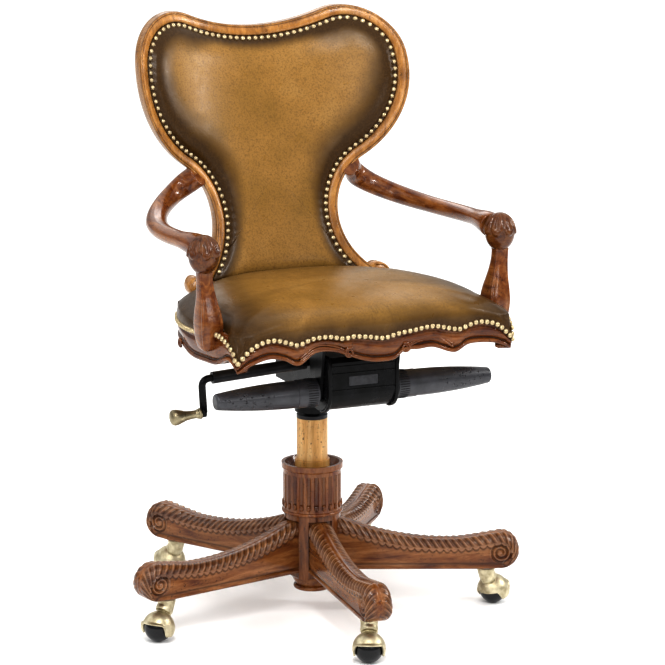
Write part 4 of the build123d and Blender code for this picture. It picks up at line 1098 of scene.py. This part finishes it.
# %% Arm bar
arm_guides = [(262, -157, 678), (266, -78, 690), (307, 84, 656), (185, 219, 696), (154, 172, 733)]
KNUCKLE, KNUCKLE_TALL = Vector((266, -178, 669)), 1.22
ARM_STEPS = 60


def arm_point(share):
    line = [Vector(p) for p in arm_guides]
    while len(line) > 1:
        line = [a.lerp(b, share) for a, b in zip(line, line[1:])]
    return line[0]


def arm_half(share, tip, elbow, root):
    """Half the arm's breadth or height, which swells towards the knuckle."""
    first = tip + (elbow - tip) * share * 2
    size = first if share < 0.5 else elbow + (root - elbow) * (share * 2 - 1)
    return size / 2 + 7 * ease(0.22, 0.0, share)


arm_shares = [k / ARM_STEPS for k in range(ARM_STEPS + 1)]
arm_line = [arm_point(share) for share in arm_shares]
arm_line.append(arm_line[-1] + (arm_line[-1] - arm_line[-2]).normalized() * 20)
arm_sizes = [(arm_half(share, 28, 37, 30), arm_half(share, 27, 28, 41)) for share in arm_shares]
arm_sizes.append(arm_sizes[-1])
print("arm points", len(arm_line))

# %% [markdown]
# The knuckle is an egg with leaf tips cut into its top half. One function gives both how far the surface
# stands out and how dark its cuts are painted, with dark polish and painted shade, so the shade always lies in
# the cuts.

# %% Knuckle
def knuckle_carving(angle, high):
    """Radius of the knuckle and the painted shade in its cuts, at an angle round it and a height from -1 to 1."""
    lobes = abs(math.sin(angle * 3.5))
    leaf_end = 0.38 * (1 - lobes) ** 1.2 - 0.06
    leaf = ease(leaf_end - 0.05, leaf_end + 0.05, high)
    between = (1 - lobes) ** 4
    finger = 0.7 * ease(0.86, 0.98, lobes) * ease(0.2, 0.34, high) * ease(0.94, 0.78, high)
    under = ease(leaf_end - 0.2, leaf_end - 0.03, high) * (1 - leaf)
    radius = 25.0 + leaf * (3.2 - 3.6 * between - 2.8 * finger)
    return radius, max(leaf * max(0.9 * between, 0.75 * finger), 0.6 * under)


def knuckle(steps=112, rings=72):
    """An egg with a collar of leaf tips over its upper half."""
    rows = []
    for r in range(1, rings):
        tip = math.pi * r / rings
        row = []
        for a in around(steps):
            size = knuckle_carving(a, math.cos(tip))[0]
            flat = Vector((math.sin(tip) * math.cos(a), math.sin(tip) * math.sin(a), 0))
            row.append(KNUCKLE + (flat + Z * (math.cos(tip) * KNUCKLE_TALL)) * size)
        rows.append(row)
    return rows


knuckle_rows = knuckle()
print("knuckle rows", len(knuckle_rows))

# %% [markdown]
# Bar and knuckle are built apart and fused by a voxel remesh, which rounds the joint between them as a carver
# would. A boolean union would leave a sharp line there.

# %% Fused arms
def fuse(piece, voxel, rounds):
    """Melt a piece's closed parts into one skin and smooth it."""
    melt = piece.modifiers.new("melt", "REMESH")
    melt.mode = "VOXEL"
    melt.voxel_size = voxel * MM
    soften = piece.modifiers.new("soften", "SMOOTH")
    soften.iterations = rounds
    soften.factor = 0.4
    done = bpy.data.meshes.new_from_object(piece.evaluated_get(bpy.context.evaluated_depsgraph_get()))
    piece.modifiers.clear()
    old, piece.data = piece.data, done
    bpy.data.meshes.remove(old)
    piece.data.shade_smooth()
    print("fused", piece.name, len(done.vertices), "points")


for name, side in (("left", 1), ("right", -1)):
    bar, ball = mirror(tube(arm_line, arm_sizes, 28), side), mirror(knuckle_rows, side)
    arm = dress(f"carved_arm_{name}", gather([weave(bar), weave(ball)]), walnut, "seat")
    fuse(arm, 1.3, 2)
    # The whole knuckle is darkened with painted shade, more deeply in its cuts.
    dark = []
    for vertex in arm.data.vertices:
        spot = Vector((side * vertex.co.x, vertex.co.y, vertex.co.z)) / MM - KNUCKLE
        spot.z /= KNUCKLE_TALL
        near = ease(33, 29, spot.length)
        cut = knuckle_carving(math.atan2(spot.y, spot.x), spot.z / max(spot.length, 1))[1]
        dark.append(near * max(0.42, cut))
    mark(arm, "polish_and_shade", dark)
    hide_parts(f"arm_{name}")

# %% [markdown]
# The arm post is a vase that swells where it is let into the rail. A bead runs up its front corners, and
# its foot ends in a round boss. Sections are set out one above the other as rounded rectangles.

# %% Arm posts
POST_FOOT, POST_TALL, POST_STEPS = 513, 130.4, 70
post_sizes = [(POST_FOOT, 14), (515, 24), (520, 30), (530, 35), (545, 39), (558, 40), (575, 37), (590, 31),
              (604, 26.5), (622, 23), (638, 22.5), (643, 24)]
post_depths = [(POST_FOOT, 16), (515, 28), (520, 36), (530, 43), (545, 49), (558, 51), (575, 45), (590, 38),
               (604, 31.5), (622, 26), (638, 24), (643, 25)]


def post_section(height, side):
    """Points of one section of the post, each with its painted shade."""
    lean = ease(555, 643, height)
    centre = Vector((side * (259 + 7 * lean), POST_Y - 1.5 * lean, height))
    wide, deep = smooth_line(post_sizes, height) / 2, smooth_line(post_depths, height) / 2
    fade = ease(518, 530, height)
    row = []
    for a in around(64):
        c, s = math.cos(a), math.sin(a)
        x = math.copysign(abs(c) ** 0.62, c)
        y = math.copysign(abs(s) ** 0.62, s)
        corner = max(0.0, 1 - abs(abs(math.atan2(abs(s), abs(c))) - math.radians(45)) / 0.2)
        # the cut line beside each bead is darkened with painted shade
        cut_line = max(0.0, 1 - abs(corner - 0.15) * 6) * fade if s < 0 else 0.0
        bead = 2.4 * corner * fade - 1.2 * cut_line if s < 0 else 0.0
        row.append((centre + Vector((x * (wide + bead), y * (deep + bead), 0)), 0.8 * cut_line))
    return row


for name, side in (("left", 1), ("right", -1)):
    levels = [POST_FOOT + POST_TALL * k / POST_STEPS for k in range(POST_STEPS + 1)]
    sections = [post_section(height, side) for height in levels]
    skin = weave([[spot for spot, dark in row] for row in sections])
    post = dress(f"carved_post_{name}", skin, walnut, "seat")
    mark(post, "polish_and_shade", [dark for row in sections for spot, dark in row])
    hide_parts(f"arm_post_{name}")

# %% [markdown]
# A leg is carved along its whole top: two rows of leaves that overlap towards the toe, with a rib between them,
# a bead along the lower edge and a scroll on each side of the toe. The relief is worked out point by point on
# a fine skin. Sculpting by hand would look the same once, but five legs need the same leaves, so the five
# share one mesh.

# %% Leaves and toe of a leg
ROOT, TOE, TOE_HIGH = 40, 326.0, 64
leg_tops = [(ROOT, 92), (105, 69.5), (175, 55), (245, 51.5), (297, 59), (TOE, TOE_HIGH)]
UNDERSIDE, HALF, CROWN, LEAF = 71.0, 21.0, 16.0, 13.0
LEG_STEPS, TOE_STEPS, TOE_TURN = 204, 56, 86


def leaf_relief(run, v):
    """Height, painted shade and painted highlight of the leaves, a run along the leg and a share from shoulder to
    middle.
    """
    phase = (run + 2.2 * math.sin(run / 17) * v + 20 * v) / LEAF
    part = phase - math.floor(phase)
    lobe = math.sin(math.pi * part) ** 0.6
    vein = math.exp(-(((part - 0.64) / 0.09) ** 2)) * ease(0.0, 0.25, v)
    band = ease(0.96, 0.6, v)
    rib = ease(0.88, 0.95, v)
    # crest is a painted highlight on the top of each lobe; the second value is painted shade between lobes and in
    # the vein
    crest = 0.16 * lobe**5 * (1 - vein) * band
    return (3.5 * lobe - 1.5 * vein) * band + 0.9 * rib, max(1 - lobe, 0.85 * vein) * band, crest


def tip_drop(run):
    """How far the leaf tips hang over the side, in a row of scallops."""
    part = run / LEAF - math.floor(run / LEAF)
    return 6.5 * math.sin(math.pi * part) ** 0.6


def scroll_relief(s, z):
    radius = math.hypot(s - TOE, z - 100)
    if radius > 21:
        return 0.0
    angle = math.atan2(z - 100, s - TOE) / math.tau
    wave = math.cos(math.tau * (radius / 7.5 - angle))
    return (2.0 * wave * ease(2, 5, radius) + 2.4 * ease(5, 1, radius)) * ease(21, 18, radius)


def toe_limit(s, z):
    """Half the width that the rounded toe allows at a place of its side view."""
    share = ease(292, TOE, s)
    radius = math.hypot(max(s - TOE, 0), z - 103 if s > TOE or z < 103 else 0)
    round_off = 12 + math.sqrt(max(12**2 - max(min(radius, 32) - 20, 0) ** 2, 0))
    return HALF + 3 + (round_off - HALF - 1.5) * share


print("leaf tips hang down", round(tip_drop(LEAF / 2), 1), "mm")

# %% [markdown]
# A section of the leg goes from the middle of the underside out, up the side and over the carved top, and back
# down on the other side. Each point carries its place, its painted shade and its painted highlight.

# %% Sections of a leg
def leg_section(origin, way, length, run, leaves):
    """One closed section: bottom, side, carved top, and the same on the other side."""
    crown = min(CROWN, length * 0.28)
    shoulder = length - crown
    half = [(0, 0.0, 0.0), (0, 9.0, 0.0), (0, 17.0, 0.0)]
    half += [(1, HALF, shoulder * k / 38) for k in range(39)]
    half += [(2, math.pi / 2 * k / 28, 0.0) for k in range(1, 29)]
    row = []
    for zone, w, h in half:
        dark = pale_highlight = 0.0
        if zone == 1:
            s, z = origin[0] + way[0] * h, origin[1] + way[1] * h
            edge = shoulder - tip_drop(run)
            bead = 1.8 * math.sqrt(max(1 - ((h - 4.0) / 4.0) ** 2, 0)) if h < 8 else 0.0
            tips = 2.2 * leaves * ease(-0.9, 0.9, h - edge)
            turn = scroll_relief(s, z) * ease(2, 8, h)
            # painted shadow under the hanging leaf tips, painted shade in the groove above the bead and in the
            # scroll's cuts
            dark = max(0.7 * leaves * math.exp(-(((h - edge + 1.6) / 1.8) ** 2)),
                       0.7 * math.exp(-(((h - 9.5) / 1.8) ** 2)), 0.65 * ease(-0.4, -1.8, turn))
            # painted highlights on the leaf tips and on the scroll's crests
            pale_highlight = max(0.14 * leaves * ease(0.5, 2.0, h - edge), 0.12 * ease(0.8, 1.8, turn))
            w = w - 1.8 + max(bead, tips) + turn
        elif zone == 2:
            lift, dark, pale_highlight = (value * leaves for value in leaf_relief(run, w / (math.pi / 2)))
            lift, dark = lift - 0.6 * leaves, 0.95 * dark
            w, h = HALF * math.cos(w) + lift * math.cos(w), shoulder + (crown + lift) * math.sin(w)
        s, z = origin[0] + way[0] * h, origin[1] + way[1] * h
        row.append((s, min(w, toe_limit(s, z)), z, dark, pale_highlight))
    return row + [(s, -w, *rest) for s, w, *rest in reversed(row[1:-1])]


leg_rows = []
run_length = 0.0
for k in range(LEG_STEPS + 1):
    s = ROOT + (TOE - ROOT) * k / LEG_STEPS
    run_length += 1.45
    leaves = ease(ROOT, 52, s)
    leg_rows.append(leg_section((s, UNDERSIDE), (0, 1), smooth_line(leg_tops, s), run_length, leaves))
for k in range(1, TOE_STEPS + 1):
    turn = math.radians(90 - TOE_TURN * k / TOE_STEPS)
    run_length += TOE_HIGH * math.radians(TOE_TURN) / TOE_STEPS
    leaves = ease(8, 22, math.degrees(turn))
    way, length = (math.cos(turn), math.sin(turn)), TOE_HIGH * math.sin(turn)
    leg_rows.append(leg_section((TOE, UNDERSIDE), way, length, run_length, leaves))
leg_skin = weave([[spot[:3] for spot in row] for row in leg_rows])
print("leg skin", len(leg_skin[0]), "points")

# %% [markdown]
# The five legs are the same mesh turned about the column, so the grain and the leaves run out along each one.

# %% Five legs
def leg_angle(n):
    return math.radians(192.5 + 72 * (n - 1))


first_leg = dress("carved_leg_1", leg_skin, leg_walnut, "base")
# painted shade in the cuts and painted highlights on the crests
mark(first_leg, "polish_and_shade", [spot[3] for row in leg_rows for spot in row])
mark(first_leg, "crest_highlight", [spot[4] for row in leg_rows for spot in row])
for n in range(1, 6):
    leg = first_leg if n == 1 else bpy.data.objects.new(f"carved_leg_{n}", first_leg.data)
    if n > 1:
        scene.collection.objects.link(leg)
    leg.parent = None
    leg.matrix_world = Matrix.Rotation(leg_angle(n), 4, "Z")
    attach(leg, "base")
    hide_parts(f"leg_{n}")

# %% [markdown]
# The drum's flutes are filled at the bottom with small tongues, as turned and fluted columns often are.

# %% Tongues in the flutes
FLUTES, FLUTE_REACH, TONGUE_Z = 24, 50.2, 187
tongues = []
for a in around(FLUTES):
    centre = Vector((FLUTE_REACH * math.cos(a), FLUTE_REACH * math.sin(a), TONGUE_Z))
    out, along_side = Vector((math.cos(a), math.sin(a), 0)), Vector((-math.sin(a), math.cos(a), 0))
    rows = []
    for r in range(1, 10):
        t = math.pi * r / 10
        middle = centre + Z * 5.5 * math.cos(t)
        rows.append([middle + (out * 2.6 * math.cos(b) + along_side * 3.6 * math.sin(b)) * math.sin(t)
                     for b in around(12)])
    tongues.append(weave(rows))
dress("drum_tongues", gather(tongues), drum_walnut, "base")

# %% [markdown]
# The caster hoods are brass castings. A hood is a shell over the ball, tipped back so that the ball shows in
# front, with a small visor on its rim. Its rows run over the outside and back inside, so it has a real wall.

# %% Hood shell
HOOD_TIP, HOOD_OUT, HOOD_IN = math.radians(14), 27.6, 24.9
STEM_REACH, TRAIL, BALL_HIGH = 302, 23, 23.75
headings = (212.0, 245.0, 30.0, 60.0, 100.0)


def hood_shell(centre, ahead, axle):
    """Rows of the shell: over the outside from the top to the rim, then back inside."""
    top = Z * math.cos(HOOD_TIP) - ahead * math.sin(HOOD_TIP)
    front = ahead * math.cos(HOOD_TIP) + Z * math.sin(HOOD_TIP)
    levels = [(k / 24, HOOD_OUT) for k in range(1, 25)] + [(1.02, 26.2), (1.0, HOOD_IN)]
    levels += [(k / 16, HOOD_IN) for k in range(15, 0, -1)]
    rows = []
    for share, radius in levels:
        row = []
        for a in around(64):
            tongue = ease(0.72, 0.3, abs(abs(math.remainder(a, math.tau)) - math.pi / 2))
            t = math.radians(80 + 36 * tongue) * share
            lip = ease(0.88, 1.0, share) if radius > 25 else 0.0
            visor = 5.0 * max(0.0, math.cos(a)) ** 1.5 * lip
            way = (front * math.cos(a) + axle * math.sin(a)) * math.sin(t) + top * math.cos(t)
            row.append(centre + way * (radius + visor + 0.8 * lip))
        rows.append(row)
    return rows


print("hood wall", round(HOOD_OUT - HOOD_IN, 1), "mm")

# %% [markdown]
# A neck sweeps from the stem into the shell. Shell and neck are built apart, remeshed finely and smoothed, which
# runs them together with fillets as a foundry would. Each caster stands at its own angle, as after use.

# %% Cast caster hoods
# the neck from the top of the stem down: height, lean towards the shell, radius
neck_sizes = [(103, 0, 5.4), (70.5, 0, 5.4), (68.5, 0, 15.0), (65.5, 0, 15.4), (61, 0.5, 14.4), (56, 2.5, 14.2),
              (51, 6, 15.0), (47, 10, 14.0)]


def hood_neck(stem, ahead, axle):
    """The stem, its flange and the neck that leans over to the shell."""
    line = [stem + Z * high + ahead * lean for high, lean, radius in neck_sizes]
    return tube(line, [(radius, radius) for high, lean, radius in neck_sizes], 32, axle)


for n, heading in enumerate(headings, 1):
    leg_way, turn = leg_angle(n), math.radians(heading)
    stem = Vector((STEM_REACH * math.cos(leg_way), STEM_REACH * math.sin(leg_way), 0))
    ahead = Vector((math.cos(turn), math.sin(turn), 0))
    axle = Vector((math.sin(turn), -math.cos(turn), 0))
    shell = hood_shell(stem + ahead * TRAIL + Z * BALL_HIGH, ahead, axle)
    skin = gather([weave(shell), weave(hood_neck(stem, ahead, axle))])
    hood = dress(f"cast_hood_{n}", skin, hood_brass, f"caster_{n}")
    fuse(hood, 0.9, 6)
    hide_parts(f"caster_hood_{n}")

# %% [markdown]
# The tension crank is a bent rod: out of the housing, down at the elbow, with a flat end for the knob.
# A tube along a rounded path shows the bend that a solid made of two straight bars can't.

# %% Tension crank
def rounded(corners, radius, steps=10):
    """The corners of a path with each inner corner rounded."""
    line = [corners[0]]
    for a, b, c in zip(corners, corners[1:], corners[2:]):
        start, end = b + (a - b).normalized() * radius, b + (c - b).normalized() * radius
        shares = [k / steps for k in range(steps + 1)]
        line += [start.lerp(b, t).lerp(b.lerp(end, t), t) for t in shares]
    return line + [corners[-1]]


shaft_start, elbow = Vector((-36, -100, 459.4)), Vector((-241.5, -100, 447.2))
CRANK_R, CRANK_DROP = 6.0, 57
down = (shaft_start - elbow).cross(Y).normalized()
down = down if down.z < 0 else -down
crank_line = rounded([shaft_start, elbow, elbow + down * CRANK_DROP], 14)
flattened = [ease(4, 20, (p - elbow).dot(down)) for p in crank_line]
crank_sizes = [(CRANK_R + 0.5 * flat, CRANK_R - 2.4 * flat) for flat in flattened]
end, boss = crank_line[-1], []
outwards = (elbow - shaft_start).normalized()
for depth, radius in ((-3.6, 5.5), (-3.0, 7.2), (2.8, 7.2), (3.6, 6.0)):
    boss.append([end + outwards * depth + (Y * math.cos(a) + down * math.sin(a)) * radius for a in around(28)])
skin = gather([weave(tube(crank_line, crank_sizes, 20, Y)), weave(boss)])
crank = dress("bent_crank", skin, black_steel, "crank")
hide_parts("tension_crank")

# %% [markdown]
# The crank's knob is turned brass: a ring, a waisted barrel with two fine beads, and a domed end.
# A lathe profile spun round the pin makes it, with many more rings than the solid model needs.

# %% Crank knob
def turned(profile, origin, axis, steps=40):
    """Rows of a turned piece: profile is (distance along the axis, radius)."""
    axis = axis.normalized()
    side = axis.cross(Y if abs(axis.y) < 0.9 else Z).normalized()
    other = axis.cross(side)
    return [[origin + axis * x + (side * math.cos(a) + other * math.sin(a)) * r for a in around(steps)]
            for x, r in profile]


knob_profile = [(0, 4), (0, 8.2), (0.8, 9), (3.6, 9.1), (4.6, 8.6), (5, 7.4), (5.8, 7.9), (6.8, 8.1), (7.6, 7.6),
                (8.2, 7.0), (12, 6.8), (18, 7.0), (24, 7.6), (29, 8.4), (31.4, 8.8), (32, 9.8), (33, 10.2),
                (34, 10.0), (34.6, 10.4), (38, 11.6), (42, 12.8), (46, 13.3), (49, 13.1), (51, 12.2),
                (52.6, 10.4), (53.8, 7.6), (54.6, 4.2), (54.8, 1.0)]
knob_root = end + outwards * 4.6
knob = dress("turned_knob", weave(turned(knob_profile, knob_root, outwards)), brass, "knob")
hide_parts("crank_knob")

# %% [markdown]
# The front cover of the mechanism is a moulding with raised rims at its ends and thin ribs across its face.
# These are thin, so they are laid on the CAD cover, which stays.

# %% Cover rims
KNEE_Y, KNEE_Z = -177, 426
COVER_FRONT, COVER_TOP = -214, 488


def cover_line(grow):
    """The cover's side view as (depth, height), from the back of the top round the front to the underside."""
    front, top = COVER_FRONT - grow, COVER_TOP + grow
    line = [(-140, top), (-204, top), (COVER_FRONT - grow * 0.7, 480 + grow * 0.7), (front, 470), (front, 430)]
    for degrees in range(8, 95, 8):
        a = math.radians(degrees)
        line.append((KNEE_Y - (37 + grow) * math.cos(a), KNEE_Z - (32 + grow) * math.sin(a)))
    return line


rims = []
for start, end_x in ((-63.4, -57.5), (57.5, 63.4)):
    rows = []
    for (y0, z0), (y1, z1) in zip(cover_line(-0.5), cover_line(2.2)):
        near_y, near_z = y1 * 0.8 + y0 * 0.2, z1 * 0.8 + z0 * 0.2
        rows.append([(start, y0, z0), (start, near_y, near_z), (start + 1.2, y1, z1),
                     (end_x - 1.2, y1, z1), (end_x, near_y, near_z), (end_x, y0, z0)])
    rims.append(weave(rows))
for height in (434.0, 462.0, 474.0):
    bar = [Vector((x, -213.6, height)) for x in range(-56, 57, 4)]
    rims.append(weave(tube(bar, [(1.6, 1.3)] * len(bar), 8)))
dress("cover_rims", gather(rims), black_steel, "lift")

# %% [markdown]
# A bare plate with rounded corners lies in the cover's recess. Its edge is bevelled by a last, smaller outline.

# %% Bare plate
PLATE_Z = 448
plate = []
for depth, grow in ((0.6, 0.0), (0.0, 0.0), (-0.35, -0.7)):
    half_w, half_h, round_off = 26.2 + grow, 8.2 + grow, 2.0
    outline = []
    for cx, cz, first in ((1, 1, 0), (-1, 1, 90), (-1, -1, 180), (1, -1, 270)):
        for k in range(6):
            a = math.radians(first + 18 * k)
            outline.append((cx * (half_w - round_off) + round_off * math.cos(a), -213.5 + depth,
                            PLATE_Z + cz * (half_h - round_off) + round_off * math.sin(a)))
    plate.append(outline)
dress("bare_plate", weave(plate), plate_grey, "lift", smooth=False)

# %% [markdown]
# The handles have a ribbed collar next to the mechanism, where the fingers find them. The ribs are short bars
# laid round the collar; each handle carries its own so that they turn with it.

# %% Ribs on the handle collars
COLLAR_X = 83
for body, side in (("lock", -1), ("height", 1)):
    ribs = []
    for a in around(36):
        out = Vector((0, math.cos(a), math.sin(a)))
        bar = []
        for x in (74, 75, 79, COLLAR_X, 87, 91, 92):
            reach = 23.6 - 0.9 * (abs(x - COLLAR_X) / 9) ** 6
            bar.append(Vector((side * x, KNEE_Y, KNEE_Z)) + out * reach)
        ribs.append(weave(tube(bar, [(0.9, 0.9)] * len(bar), 6, out)))
    dress(f"{body}_collar_ribs", gather(ribs), black_plastic, body)
